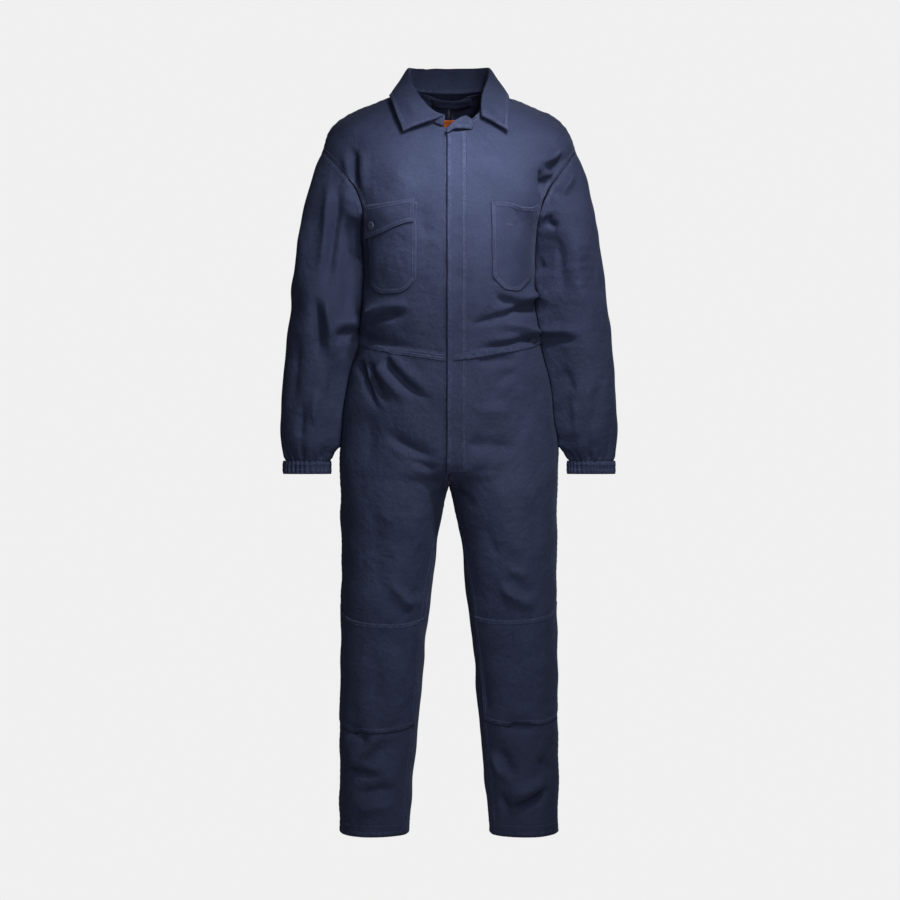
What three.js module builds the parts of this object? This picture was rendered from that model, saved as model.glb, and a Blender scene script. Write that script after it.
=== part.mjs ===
// A boiler suit, filled out as if worn, with no wearer in it. Lengths are millimetres. +Z is up, the front
// faces -Y and +X is the wearer's left. Heights count from a level just below the hems, and the finished suit
// is then lowered so that its origin is where the shoulders carry it.
import * as THREE from "three";

// Driving sizes
const SHOULDER_HEIGHT = 1470;
const CLOTH = 2;
const TRIM_CLOTH = 1.6;
const SEAM_GAP = 0.3;
const LAID_ON = 0.8;
const POCKET_LIFT = 1.8;
const SQUARENESS = 2.2;

const WAIST_FRONT = 953;
const WAIST_SIDE = 1000;
const WAIST_BACK = 990;
const UNDERARM = 1217;
const SHOULDER_TIP = 1372;
const NECK_POINT = 1496;
const CROTCH = 704;
const FORK_TOP = 800;
const FORK_POWER = 2;

const ARMHOLE_SCOOP = { left: 31, right: 38, back: 24 };
const INSEAM_TURN = 32;
const INSEAM_TURN_LENGTH = 200;

const PANEL_COLUMNS = 9;
const ARMHOLE_ROWS = 8;

const HEM = 15;
const WAIST_REACH = 7;
const CUFF = { top: 755, bottom: 728, outer: 331, inner: 237, depth: 30, proud: 0.6 };
const BUTTON = {
  radius: 8,
  thickness: 3,
  rim: 1.2,
  hole: 1.1,
  holeSpread: 2.2,
  x: -145,
  height: 1214,
  clear: 1.5,
};

function table(columns, rows) {
  const names = columns.split(" ");
  return rows.map((row) => Object.fromEntries(names.map((name, i) => [name, row[i]])));
}

// The body of the suit: the half width and the depths in front of and behind the side seams.
const BODY = table("height width front back", [
  [0, 218, 76, 84],
  [50, 219, 77, 84],
  [154, 219, 80, 87],
  [276, 217, 86, 89],
  [386, 215, 94, 93],
  [490, 215, 104, 103],
  [556, 215, 111, 113],
  [676, 217, 126, 137],
  [760, 219, 134, 152],
  [846, 213, 139, 158],
  [916, 203, 141, 148],
  [953, 192, 139, 132],
  [1000, 182, 140, 124],
  [1035, 177, 147, 134],
  [1076, 173, 150, 142],
  [1150, 172, 150, 149],
  [1217, 180, 147, 151],
  [1250, 206, 142, 152],
  [1280, 224, 135, 151],
  [1320, 242, 125, 148],
  [1372, 254, 106, 139],
  [1408, 243, 84, 125],
  [1443, 212, 61, 105],
  [1470, 147, 38, 86],
  [1496, 78, 20, 63],
]);

// How far each leg's inner side is from the centre plane.
const LEG_INNER = table("height inner", [
  [0, 79],
  [50, 76],
  [154, 66],
  [276, 54],
  [386, 46],
  [490, 32],
  [556, 26],
  [676, 8],
  [704, 0],
]);

// Rows of the bodice below the armhole, at the centre front, the side seam and the centre back.
const BODICE_ROWS = table("front side back", [
  [WAIST_FRONT, WAIST_SIDE, WAIST_BACK],
  [WAIST_FRONT + WAIST_REACH, WAIST_SIDE + WAIST_REACH, WAIST_BACK + WAIST_REACH],
  [990, 1030, 1022],
  [1022, 1054, 1048],
  [1062, 1086, 1082],
  [1112, 1126, 1124],
  [1168, 1170, 1170],
  [1225, UNDERARM, 1222],
]);

// The centre line from the chest to the neck seam, then the neck seam up to the neck point.
const NECK_ROWS = table("x frontHeight backHeight", [
  [0, 1272, 1278],
  [0, 1320, 1342],
  [0, 1366, 1408],
  [0, 1406, 1474],
  [36, 1417, NECK_POINT],
  [59, 1441, NECK_POINT],
  [73, 1469, NECK_POINT],
  [78, NECK_POINT, NECK_POINT],
]);

const HIP_ROWS = [WAIST_FRONT, WAIST_FRONT - WAIST_REACH, 900, 850];
const FORK_ROWS = [FORK_TOP, 770, 745, 722, CROTCH];
const SHANK_ROWS = [650, 575, 490, 400, 310, 210, 110, HEM];
const LEG_ROWS = [...HIP_ROWS, ...FORK_ROWS, ...SHANK_ROWS];

// Sections of a sleeve from the armhole to the cuff. Each leans from its outer to its inner point.
const SLEEVE = table("row outer outerHeight innerRight innerLeft innerHeight depth", [
  [0, 254, 1372, 180, 180, 1217, 74],
  [1, 268, 1346, 189, 187, 1211, 77],
  [2, 279, 1313, 191, 191, 1201, 79],
  [3, 288, 1272, 188, 189, 1182, 79],
  [4, 297, 1226, 181, 183, 1156, 77],
  [6, 311, 1132, 178, 179, 1092, 72],
  [8, 323, 1030, 184, 185, 1014, 68],
  [9, 329, 975, 193, 194, 966, 67],
  [10, 334, 918, 204, 206, 914, 64],
  [11, 337, 866, 213, 213, 864, 60],
  [12, 338, 820, 218, 219, 819, 55],
  [13, 336, 782, 221, 222, 782, 47],
  [14, 331, 755.3, 237, 237, 755.3, 30],
]);
const SLEEVE_SETTLES = 4;

// A sleeve's surface is read down its length, one scaled step for each row, so that both of a normal's
// steps are of a like size.
const SLEEVE_ROW_SCALE = 45;
const SLEEVE_FOLDS_FROM = 2;

// The largest folds, as seen from the front or the back: a line from one end to the other, how far the fold
// spreads to each side of it, and how far it stands out (or in, below nothing).
const BODY_FOLDS = table("face x1 h1 x2 h2 spread rise", [
  ["front", -164, 1040, -78, 1056, 16, 8],
  ["front", -170, 996, -104, 984, 15, -7],
  ["front", 66, 1024, 150, 1058, 15, -7],
  ["front", 84, 1020, 172, 1010, 14, 7],
  ["front", -124, 944, -26, 862, 14, -7],
  ["front", -152, 930, -112, 850, 13, -7],
  ["front", -140, 935, -70, 862, 12, 5],
  ["front", -180, 1345, -176, 1260, 15, -8],
  ["front", 176, 1338, 214, 1352, 15, 8],
  ["front", 190, 1300, 196, 1262, 15, -9],
  ["front", -120, 202, -190, 138, 20, -8],
  ["front", -168, 74, -104, 96, 18, -6],
  ["front", 112, 66, 178, 96, 18, -9],
  ["front", 88, 172, 112, 118, 17, -6],
  ["back", -150, 1052, -40, 1030, 17, 8],
  ["back", 30, 1024, 158, 1048, 16, 8],
  ["back", -140, 1010, 60, 1002, 15, -7],
  ["back", 150, 1330, 168, 1230, 18, -8],
  ["back", -158, 1340, -164, 1236, 18, -8],
  ["back", 60, 800, 170, 742, 20, -8],
  ["back", -50, 806, -168, 752, 20, -7],
  ["back", 70, 452, 190, 424, 20, -8],
  ["back", -66, 430, -186, 448, 20, -8],
  ["back", 100, 120, 190, 82, 20, -7],
  ["back", -96, 96, -180, 124, 20, -7],
]);

const SLEEVE_FOLDS = table("face x1 h1 x2 h2 spread rise", [
  ["front", -292, 1262, -272, 1024, 15, 7],
  ["front", -252, 1236, -240, 1060, 14, -6],
  ["front", -318, 1180, -306, 1010, 14, -5],
  ["front", -196, 996, -262, 968, 15, -7],
  ["front", 206, 986, 250, 984, 14, -7],
  ["front", 232, 1300, 268, 1180, 16, -6],
  ["front", 262, 1090, 286, 860, 16, 5],
  ["back", -206, 1040, -290, 1000, 18, -8],
  ["back", 212, 1046, 300, 1010, 18, -8],
  ["back", -240, 1270, -284, 1120, 18, -6],
  ["back", 238, 1280, 286, 1130, 18, -6],
]);

// The collar from the centre back to each front end: its neck seam, the fold along its top,
// and its outer edge.
const COLLAR_COLUMNS = "row neckX neckY neckH foldX foldY foldH edgeX edgeY edgeH";
const COLLAR_RIGHT = table(COLLAR_COLUMNS, [
  [0, 0, 62, 1497, 0, 74, 1552, 0, 96, 1480],
  [1, 46, 50, 1497, 52, 58, 1550, 74, 76, 1479],
  [2, 74, 20, 1497, 82, 20, 1545, 110, 34, 1483],
  [3, 77, -12, 1489, 79, -16, 1522, 118, -10, 1483],
  [4, 68, -43, 1459, 61, -48, 1479, 111, -52, 1459],
  [5, 46, -72, 1427, 36, -76, 1446, 102, -80, 1430],
  [6, 12, -87, 1410, 8, -89, 1431, 89, -97, 1397],
]);
const COLLAR_LEFT = table(COLLAR_COLUMNS, [
  [0, 0, 62, 1497, 0, 74, 1552, 0, 96, 1480],
  [1, 46, 50, 1497, 52, 58, 1550, 74, 76, 1479],
  [2, 74, 20, 1497, 82, 20, 1546, 111, 34, 1483],
  [3, 77, -12, 1489, 79, -14, 1521, 119, -10, 1484],
  [4, 74, -29, 1473, 70, -38, 1494, 118, -48, 1459],
  [5, 68, -43, 1459, 64, -60, 1462, 118, -76, 1430],
  [6, 60, -60, 1443, 65, -78, 1430, 117, -92, 1399],
]);
const COLLAR_ENDS = 6;

// The collar's surfaces are read up its width on this scale. Each layer bows out a little between its edges,
// and the leaf lies this far outside the stand where they meet at the fold.
const COLLAR_SCALE = 60;
const STAND_BOW = 2;
const LEAF_BOW = 4;
const LEAF_CLEAR = 0.7;
const COLLAR_COLUMN_COUNT = 20;

// Materials
const NAVY = 0x2b3355;
function cloth(color = NAVY, roughness = 0.9) {
  return new THREE.MeshStandardMaterial({ color, roughness, metalness: 0, side: THREE.DoubleSide });
}

// Helpers
const degrees = THREE.MathUtils.degToRad;
const lerp = THREE.MathUtils.lerp;
const ease = (t) => THREE.MathUtils.smoothstep(t, 0, 1);
const signedPower = (value, power) => Math.sign(value) * Math.abs(value) ** power;

// A smooth curve through one column of a table, read along the table's first column, straight past its ends.
function curve(rows, column) {
  const key = Object.keys(rows[0])[0];
  const at = rows.map((row) => row[key]);
  const value = rows.map((row) => row[column]);
  const last = at.length - 1;
  const slope = at.slice(1).map((x, i) => (value[i + 1] - value[i]) / (x - at[i]));
  const tangent = at.map((_, i) => {
    if (i === 0) return slope[0];
    if (i === last) return slope[last - 1];
    const product = slope[i - 1] * slope[i];
    return product <= 0 ? 0 : (2 * product) / (slope[i - 1] + slope[i]);
  });
  return (x) => {
    if (x <= at[0]) return value[0] + tangent[0] * (x - at[0]);
    if (x >= at[last]) return value[last] + tangent[last] * (x - at[last]);
    const i = at.findIndex((_, k) => x <= at[k + 1]);
    const span = at[i + 1] - at[i];
    const t = (x - at[i]) / span;
    const s = 1 - t;
    return (
      (1 + 2 * t) * s * s * value[i] +
      t * s * s * span * tangent[i] +
      t * t * (3 - 2 * t) * value[i + 1] -
      t * t * s * span * tangent[i + 1]
    );
  };
}

function curves(rows) {
  const columns = Object.keys(rows[0]).slice(1);
  return Object.fromEntries(columns.map((column) => [column, curve(rows, column)]));
}

// How far the folds of one face push a point out, at a place seen from that face. Folds fade out where the
// surface turns towards the side seams.
const SIDE_FADE = 2.2;
function foldRise(folds, x, height, facing) {
  const face = facing >= 0 ? "front" : "back";
  let rise = 0;
  for (const fold of folds) {
    if (fold.face !== face) continue;
    const [dx, dh] = [fold.x2 - fold.x1, fold.h2 - fold.h1];
    const along = ((x - fold.x1) * dx + (height - fold.h1) * dh) / (dx * dx + dh * dh);
    const t = THREE.MathUtils.clamp(along, 0, 1);
    const distance = Math.hypot(x - fold.x1 - dx * t, height - fold.h1 - dh * t);
    rise += fold.rise * Math.exp(-((distance / fold.spread) ** 2));
  }
  return rise * ease(Math.abs(facing) * SIDE_FADE);
}

const ANGLE_STEP = 1e-3;
const HEIGHT_STEP = 0.2;
function normalOf(surface, a, b) {
  const across = surface(a + ANGLE_STEP, b).sub(surface(a - ANGLE_STEP, b));
  const up = surface(a, b + HEIGHT_STEP).sub(surface(a, b - HEIGHT_STEP));
  return across.cross(up).normalize();
}

// A surface with its folds pushed out along its normals.
function folded(plain, folds, side) {
  return (angle, height) => {
    const point = plain(angle, height);
    const rise = foldRise(folds, side * point.x, point.z, Math.cos(angle));
    return rise ? point.addScaledVector(normalOf(plain, angle, height), rise) : point;
  };
}

// A wall of cloth: an outer and an inner skin over a chart of a surface, joined by rims. Its edges are
// drawn in by half a seam's gap. Surfaces are made for the wearer's left, and side = -1 mirrors them to
// the right.
function clothWall({
  surface,
  chart,
  columns,
  rows,
  inside,
  outside,
  closed = false,
  side = 1,
  draw = true,
}) {
  const points = [];
  const normals = [];
  for (let j = 0; j <= rows; j++) {
    for (let i = 0; i <= columns; i++) {
      const [a, b] = chart(i / columns, j / rows);
      points.push(surface(a, b));
      normals.push(normalOf(surface, a, b));
    }
  }
  const index = (i, j) => j * (columns + 1) + i;
  const pull = (from, to) => {
    const step = points[to].clone().sub(points[from]).setLength(SEAM_GAP / 2);
    points[from].add(step);
  };
  if (draw && !closed) {
    for (let j = 0; j <= rows; j++) {
      pull(index(0, j), index(1, j));
      pull(index(columns, j), index(columns - 1, j));
    }
  }
  if (draw) {
    for (let i = 0; i <= columns; i++) {
      pull(index(i, 0), index(i, 1));
      pull(index(i, rows), index(i, rows - 1));
    }
  }
  const span = closed ? columns : columns + 1;
  const position = [];
  for (const offset of [outside, inside]) {
    for (let j = 0; j <= rows; j++) {
      for (let i = 0; i < span; i++) {
        const k = index(i, j);
        const lift = typeof offset === "function" ? offset(i / columns, j / rows) : offset;
        const p = points[k].clone().addScaledVector(normals[k], lift);
        position.push(side * p.x, p.y, p.z);
      }
    }
  }
  const skin = span * (rows + 1);
  const vertex = (i, j, layer) => layer * skin + j * span + (i % span);
  const faces = [];
  const quad = (a, b, c, d) => faces.push(a, b, c, a, c, d);
  for (let j = 0; j < rows; j++) {
    for (let i = 0; i < columns; i++) {
      quad(vertex(i, j, 0), vertex(i + 1, j, 0), vertex(i + 1, j + 1, 0), vertex(i, j + 1, 0));
      quad(vertex(i, j, 1), vertex(i, j + 1, 1), vertex(i + 1, j + 1, 1), vertex(i + 1, j, 1));
    }
  }
  for (let i = 0; i < columns; i++) {
    quad(vertex(i, 0, 0), vertex(i, 0, 1), vertex(i + 1, 0, 1), vertex(i + 1, 0, 0));
    quad(vertex(i, rows, 0), vertex(i + 1, rows, 0), vertex(i + 1, rows, 1), vertex(i, rows, 1));
  }
  for (let j = 0; j < rows && !closed; j++) {
    quad(vertex(0, j, 0), vertex(0, j + 1, 0), vertex(0, j + 1, 1), vertex(0, j, 1));
    quad(vertex(columns, j, 0), vertex(columns, j, 1), vertex(columns, j + 1, 1), vertex(columns, j + 1, 0));
  }
  if (side < 0) faces.reverse();
  const geometry = new THREE.BufferGeometry();
  geometry.setAttribute("position", new THREE.Float32BufferAttribute(position, 3));
  geometry.setIndex(faces);
  geometry.computeVertexNormals();
  return geometry;
}

const suit = new THREE.Group();
suit.position.z = -SHOULDER_HEIGHT;
function add(name, geometry, material) {
  const mesh = new THREE.Mesh(geometry, material);
  mesh.name = name;
  suit.add(mesh);
  return mesh;
}
const sideName = (side) => (side > 0 ? "left" : "right");

// The body's surface, by the angle round it from the centre front and the height. Below the fork each half
// is a leg of its own, so its section shifts out from the centre plane.
const body = curves(BODY);
const legInner = curve(LEG_INNER, "inner");
const forkShare = (height) => ((FORK_TOP - Math.max(height, CROTCH)) / (FORK_TOP - CROTCH)) ** FORK_POWER;

function section(height) {
  const width = body.width(height);
  if (height >= FORK_TOP) return { centre: 0, half: width };
  if (height <= CROTCH) {
    const inner = legInner(height);
    return { centre: (width + inner) / 2, half: (width - inner) / 2 };
  }
  const half = width / (1 + forkShare(height));
  return { centre: width - half, half };
}

function bodyPlain(angle, height) {
  const { centre, half } = section(height);
  const depth = Math.cos(angle) >= 0 ? body.front(height) : body.back(height);
  return new THREE.Vector3(
    centre + half * signedPower(Math.sin(angle), 2 / SQUARENESS),
    -depth * signedPower(Math.cos(angle), 2 / SQUARENESS),
    height,
  );
}
const bodySurface = (side) => folded(bodyPlain, BODY_FOLDS, side);

// The angle at which the front of the body is a distance x from the centre plane.
function angleAt(x, height) {
  const { centre, half } = section(height);
  const share = THREE.MathUtils.clamp((x - centre) / half, -1, 1);
  return Math.asin(signedPower(share, SQUARENESS / 2));
}

// Bodice: one row after another from the waist seam to the shoulder seam, as an angle and a height at the
// centre line or neck seam and at the side seam or armhole.
const SCOOP_LEAN = 0.8;
function armhole(t, scoop) {
  const height = lerp(UNDERARM, SHOULDER_TIP, (1 - Math.cos(Math.PI * t)) / 2);
  return [degrees(90 - scoop * Math.sin(Math.PI * t ** SCOOP_LEAN)), height];
}

const BODICE_ROW_COUNT = BODICE_ROWS.length - 1 + ARMHOLE_ROWS;
function bodiceEdges(row, back, scoop) {
  const low = BODICE_ROWS.length - 1;
  if (row <= low) {
    const heights = BODICE_ROWS[row];
    return { start: [0, back ? heights.back : heights.front], end: [degrees(90), heights.side] };
  }
  const neck = NECK_ROWS[row - low - 1];
  const height = back ? neck.backHeight : neck.frontHeight;
  const last = row === BODICE_ROW_COUNT;
  return {
    start: [last ? degrees(90) : angleAt(neck.x, height), height],
    end: armhole((row - low) / ARMHOLE_ROWS, scoop),
  };
}

const SHOULDER_SPACING = 1.6;
function bodiceChart(back, scoop) {
  return (u, v) => {
    const row = v * BODICE_ROW_COUNT;
    const { start, end } = bodiceEdges(Math.round(row), back, scoop);
    const top = Math.max(0, (row - BODICE_ROWS.length + 1) / ARMHOLE_ROWS);
    const down = u ** lerp(1, SHOULDER_SPACING, top);
    return [lerp(start[0], end[0], u), lerp(start[1], end[1], down)];
  };
}

function bodiceFront(side) {
  return clothWall({
    surface: bodySurface(side),
    chart: bodiceChart(false, ARMHOLE_SCOOP[sideName(side)]),
    columns: PANEL_COLUMNS,
    rows: BODICE_ROW_COUNT,
    inside: -CLOTH,
    outside: 0,
    side,
  });
}

// Each half of the back runs from its side seam to the centre back seam.
function bodiceBack(side) {
  const half = bodiceChart(true, ARMHOLE_SCOOP.back);
  return clothWall({
    surface: bodySurface(side),
    chart: (u, v) => {
      const [angle, height] = half(1 - u, v);
      return [Math.PI - angle, height];
    },
    columns: PANEL_COLUMNS,
    rows: BODICE_ROW_COUNT,
    inside: -CLOTH,
    outside: 0,
    side,
  });
}

// Legs
const LEG_ROW_COUNT = LEG_ROWS.length - 1;
function innerAngle(height, back) {
  if (height <= CROTCH) {
    return degrees(-90 + INSEAM_TURN * ease((CROTCH - height) / INSEAM_TURN_LENGTH));
  }
  const angle = height >= FORK_TOP ? 0 : -Math.asin(forkShare(height) ** (SQUARENESS / 2));
  return back ? -Math.PI - angle : angle;
}

// The rows are level at the fork, and above it they come to follow the waist seam.
const WAIST_FADE = 3;
function legPanel(side, back) {
  const outer = back ? degrees(-270) : degrees(90);
  const waist = back ? WAIST_BACK : WAIST_FRONT;
  return clothWall({
    surface: bodySurface(side),
    chart: (u, v) => {
      const across = back ? 1 - u : u;
      const row = LEG_ROWS[Math.round((1 - v) * LEG_ROW_COUNT)];
      const near = THREE.MathUtils.clamp((row - FORK_TOP) / (WAIST_FRONT - WAIST_REACH - FORK_TOP), 0, 1);
      const follow = near ** WAIST_FADE;
      const height = row + follow * (lerp(waist, WAIST_SIDE, across) - WAIST_FRONT);
      return [lerp(innerAngle(height, back), outer, across), height];
    },
    columns: PANEL_COLUMNS,
    rows: LEG_ROW_COUNT,
    inside: -CLOTH,
    outside: 0,
    side,
  });
}

// Sleeves: the first section is the armhole itself, and the next few settle into plain leaning ovals.
const SLEEVE_COLUMNS = 2 * ARMHOLE_ROWS;
const SLEEVE_ROWS = SLEEVE[SLEEVE.length - 1].row;
function sleeveSurface(side) {
  const sleeve = curves(SLEEVE);
  const inner = side > 0 ? sleeve.innerLeft : sleeve.innerRight;
  const oval = (turn, row) => {
    const outward = (1 + Math.cos(turn)) / 2;
    return new THREE.Vector3(
      lerp(inner(row), sleeve.outer(row), outward),
      sleeve.depth(row) * Math.sin(turn),
      lerp(sleeve.innerHeight(row), sleeve.outerHeight(row), outward),
    );
  };
  const hole = (turn) => {
    const wrapped = THREE.MathUtils.euclideanModulo(turn, 2 * Math.PI);
    const t = Math.abs(1 - wrapped / Math.PI);
    const back = wrapped < Math.PI;
    const scoop = back ? ARMHOLE_SCOOP.back : ARMHOLE_SCOOP[sideName(side)];
    const [angle, height] = armhole(t, scoop);
    return bodyPlain(back ? Math.PI - angle : angle, height);
  };
  const plain = (turn, down) => {
    const row = -down / SLEEVE_ROW_SCALE;
    const point = oval(turn, row);
    const left = 1 - ease(row / SLEEVE_SETTLES);
    return left > 0 ? point.add(hole(turn).sub(oval(turn, 0)).multiplyScalar(left)) : point;
  };
  return (turn, down) => {
    const point = plain(turn, down);
    const rise = foldRise(SLEEVE_FOLDS, side * point.x, point.z, -Math.sin(turn));
    const settle = ease(-down / SLEEVE_ROW_SCALE / SLEEVE_FOLDS_FROM);
    return rise ? point.addScaledVector(normalOf(plain, turn, down), rise * settle) : point;
  };
}

function sleeve(side) {
  return clothWall({
    surface: sleeveSurface(side),
    chart: (u, v) => [u * 2 * Math.PI, (v - 1) * SLEEVE_ROWS * SLEEVE_ROW_SCALE],
    columns: SLEEVE_COLUMNS,
    rows: SLEEVE_ROWS,
    inside: -CLOTH,
    outside: 0,
    closed: true,
    side,
  });
}

function cuff(side) {
  const surface = (turn, height) =>
    new THREE.Vector3(
      lerp(CUFF.inner, CUFF.outer, (1 + Math.cos(turn)) / 2),
      CUFF.depth * Math.sin(turn),
      height,
    );
  return clothWall({
    surface,
    chart: (u, v) => [u * 2 * Math.PI, lerp(CUFF.bottom, CUFF.top, v)],
    columns: SLEEVE_COLUMNS,
    rows: 1,
    inside: -CLOTH,
    outside: CUFF.proud,
    closed: true,
    side,
  });
}

// Collar: a stand from the neck seam to the fold, and a leaf from the fold down to the outer edge.
function collarPoint(end, place) {
  const half = curves(end);
  return (row) => new THREE.Vector3(half[place + "X"](row), half[place + "Y"](row), half[place + "H"](row));
}

// Along the collar, -1 is the left front end, 0 the centre back and 1 the right front end.
function collarSurface(from, to, bow) {
  const places = [COLLAR_RIGHT, COLLAR_LEFT].map((end) => ({
    from: collarPoint(end, from),
    to: collarPoint(end, to),
  }));
  return (along, across) => {
    const left = along <= 0 ? 1 : 0;
    const row = Math.abs(along) * COLLAR_ENDS;
    const start = places[left].from(row);
    const finish = places[left].to(row);
    const t = across / COLLAR_SCALE;
    const out = new THREE.Vector3(start.x, start.y, 0).setLength(1);
    const point = start.lerp(finish, t).addScaledVector(out, bow * Math.sin(Math.PI * t));
    point.x *= left ? 1 : -1;
    return point;
  };
}

function collarPiece(surface, rows, inside, outside) {
  return clothWall({
    surface,
    chart: (u, v) => [2 * u - 1, v * COLLAR_SCALE],
    columns: COLLAR_COLUMN_COUNT,
    rows,
    inside,
    outside,
  });
}

// A flat piece laid on the front of the body: its chart gives a distance from the centre plane and a height.
function laidOn({
  chart,
  columns,
  rows,
  lift = POCKET_LIFT,
  thickness = TRIM_CLOTH,
  side = 1,
  bulge = () => 0,
}) {
  return clothWall({
    surface: bodySurface(side),
    chart: (u, v) => {
      const [x, height] = chart(u, v);
      return [angleAt(x, height), height];
    },
    columns,
    rows,
    inside: (u, v) => lift + bulge(u, v),
    outside: (u, v) => lift + thickness + bulge(u, v),
    side,
    draw: false,
  });
}

// A band over the waist seam, along the same columns as the panels under it.
function waistBand(side, back) {
  return clothWall({
    surface: bodySurface(side),
    chart: (u, v) => {
      const away = back ? Math.abs(1 - 2 * u) : u;
      const seam = lerp(back ? WAIST_BACK : WAIST_FRONT, WAIST_SIDE, away);
      const angle = back ? degrees(90) + u * Math.PI : u * degrees(90);
      return [angle, seam + lerp(-WAIST_REACH, WAIST_REACH, v)];
    },
    columns: back ? 2 * PANEL_COLUMNS : PANEL_COLUMNS,
    rows: 2,
    inside: LAID_ON,
    outside: LAID_ON + TRIM_CLOTH,
    side,
  });
}

// Chest pockets, wider at the mouth, with cut lower corners. x counts from the centre plane.
const POCKETS = {
  right: {
    inner: 61,
    outer: 160,
    innerLow: 63,
    outerLow: 158,
    top: 1256,
    bottom: 1079,
    cut: 21,
    cutRise: 26,
  },
  left: {
    inner: 81,
    outer: 176,
    innerLow: 84,
    outerLow: 160,
    top: 1258,
    bottom: 1084,
    cut: 24,
    cutRise: 27,
  },
};
const POCKET_COLUMNS = 7;
const POCKET_ROWS = 6;
function pocketChart(pocket) {
  return (u, v) => {
    const low = lerp(pocket.innerLow, pocket.outerLow, u);
    const x = lerp(low, lerp(pocket.inner, pocket.outer, u), v);
    const fromSide = Math.min(u, 1 - u) * (pocket.outerLow - pocket.innerLow);
    const cut = pocket.cutRise * Math.max(0, 1 - fromSide / pocket.cut);
    return [x, lerp(pocket.bottom + cut, pocket.top, v)];
  };
}

// The left pocket's mouth stands open towards the arm.
const MOUTH = { start: 0.35, widen: 0.4, close: 0.25, depth: 12, fall: 3 };
function mouthBulge(u, v) {
  const open = ease((u - MOUTH.start) / MOUTH.widen) * ease((1 - u) / MOUTH.close);
  return MOUTH.depth * open * v ** MOUTH.fall;
}

const FLAP = { inner: 66, outer: 163, topInner: 1264, topOuter: 1252, dropInner: 46, dropOuter: 61 };
const FLAP_CORNER = 1.15;
const FLAP_LIFT = 5.6;
function flapChart(u, v) {
  const top = lerp(FLAP.topInner, FLAP.topOuter, u);
  const drop = lerp(FLAP.dropInner, FLAP.dropOuter, ease(u * FLAP_CORNER));
  return [lerp(FLAP.inner, FLAP.outer, u), top - drop * (1 - v)];
}

// Knee patches: columns across the leg, with a curved top and bottom.
const KNEE = table("share rightTop rightBottom leftTop leftBottom", [
  [0, 446, 232, 450, 243],
  [0.3, 436, 221, 444, 234],
  [0.6, 440, 219, 448, 236],
  [0.85, 453, 230, 460, 246],
  [1, 470, 238, 474, 258],
]);
const KNEE_ROWS = 5;
function kneePatch(side) {
  const knee = curves(KNEE);
  const [top, bottom] = side > 0 ? [knee.leftTop, knee.leftBottom] : [knee.rightTop, knee.rightBottom];
  return clothWall({
    surface: bodySurface(side),
    chart: (u, v) => {
      const height = lerp(bottom(u), top(u), v);
      return [lerp(innerAngle(height, false), degrees(90), u), height];
    },
    columns: PANEL_COLUMNS,
    rows: KNEE_ROWS,
    inside: LAID_ON,
    outside: LAID_ON + TRIM_CLOTH,
    side,
  });
}

const PLACKET = { inner: -4, outer: 35, top: 1402, bottom: 729, rows: 26, lift: 4 };
function placket() {
  return laidOn({
    chart: (u, v) => [lerp(PLACKET.inner, PLACKET.outer, u), lerp(PLACKET.bottom, PLACKET.top, v)],
    columns: 2,
    rows: PLACKET.rows,
    lift: PLACKET.lift,
  });
}

// The end of the neck seam, turned out above the placket.
const NECK_TAB = { front: -99.2, inner: 1, outer: 50, bottom: 1404, topInner: 1412, topOuter: 1432 };
const TAB_CURL = 0.005;
const TAB_LEAN = 0.35;
const TAB_CORNER = 1.3;
function neckTab() {
  const surface = (across, height) => {
    const x = across * COLLAR_SCALE;
    const back = TAB_CURL * x * x + TAB_LEAN * (height - NECK_TAB.bottom);
    return new THREE.Vector3(x, NECK_TAB.front + back, height);
  };
  return clothWall({
    surface,
    chart: (u, v) => {
      const top = lerp(NECK_TAB.topInner, NECK_TAB.topOuter, ease(u * TAB_CORNER));
      return [lerp(NECK_TAB.inner, NECK_TAB.outer, u) / COLLAR_SCALE, lerp(NECK_TAB.bottom, top, v)];
    },
    columns: 5,
    rows: 2,
    inside: 0,
    outside: TRIM_CLOTH,
    draw: false,
  });
}

// A strip or label lying against the inside of the back.
function insideBack({ from, to, bottom, top, gap, thickness, columns }) {
  return clothWall({
    surface: bodySurface(1),
    chart: (u, v) => {
      const height = lerp(bottom, top, v);
      const x = lerp(to, from, u);
      return [Math.PI - angleAt(x, height), height];
    },
    columns,
    rows: 1,
    inside: -CLOTH - gap - thickness,
    outside: -CLOTH - gap,
    draw: false,
  });
}
const HANGER_LOOP = { from: -34, to: 46, bottom: 1478, top: 1493, gap: 2.8, thickness: 1.2, columns: 6 };
const NECK_LABEL = { from: -12, to: 38, bottom: 1424, top: 1454, gap: 3.4, thickness: 1, columns: 4 };

// A four-hole button, turned to face out from the chest.
function buttonGeometry() {
  const disc = new THREE.Shape().absarc(0, 0, BUTTON.radius - BUTTON.rim / 2, 0, 2 * Math.PI);
  for (let k = 0; k < 4; k++) {
    const turn = degrees(45 + 90 * k);
    const [x, y] = [BUTTON.holeSpread * Math.cos(turn), BUTTON.holeSpread * Math.sin(turn)];
    disc.holes.push(new THREE.Path().absarc(x, y, BUTTON.hole, 0, 2 * Math.PI, true));
  }
  const geometry = new THREE.ExtrudeGeometry(disc, {
    depth: BUTTON.thickness - BUTTON.rim,
    bevelThickness: BUTTON.rim / 2,
    bevelSize: BUTTON.rim / 2,
    bevelSegments: 1,
    curveSegments: 5,
  });
  return geometry.translate(0, 0, BUTTON.rim / 2);
}

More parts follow.
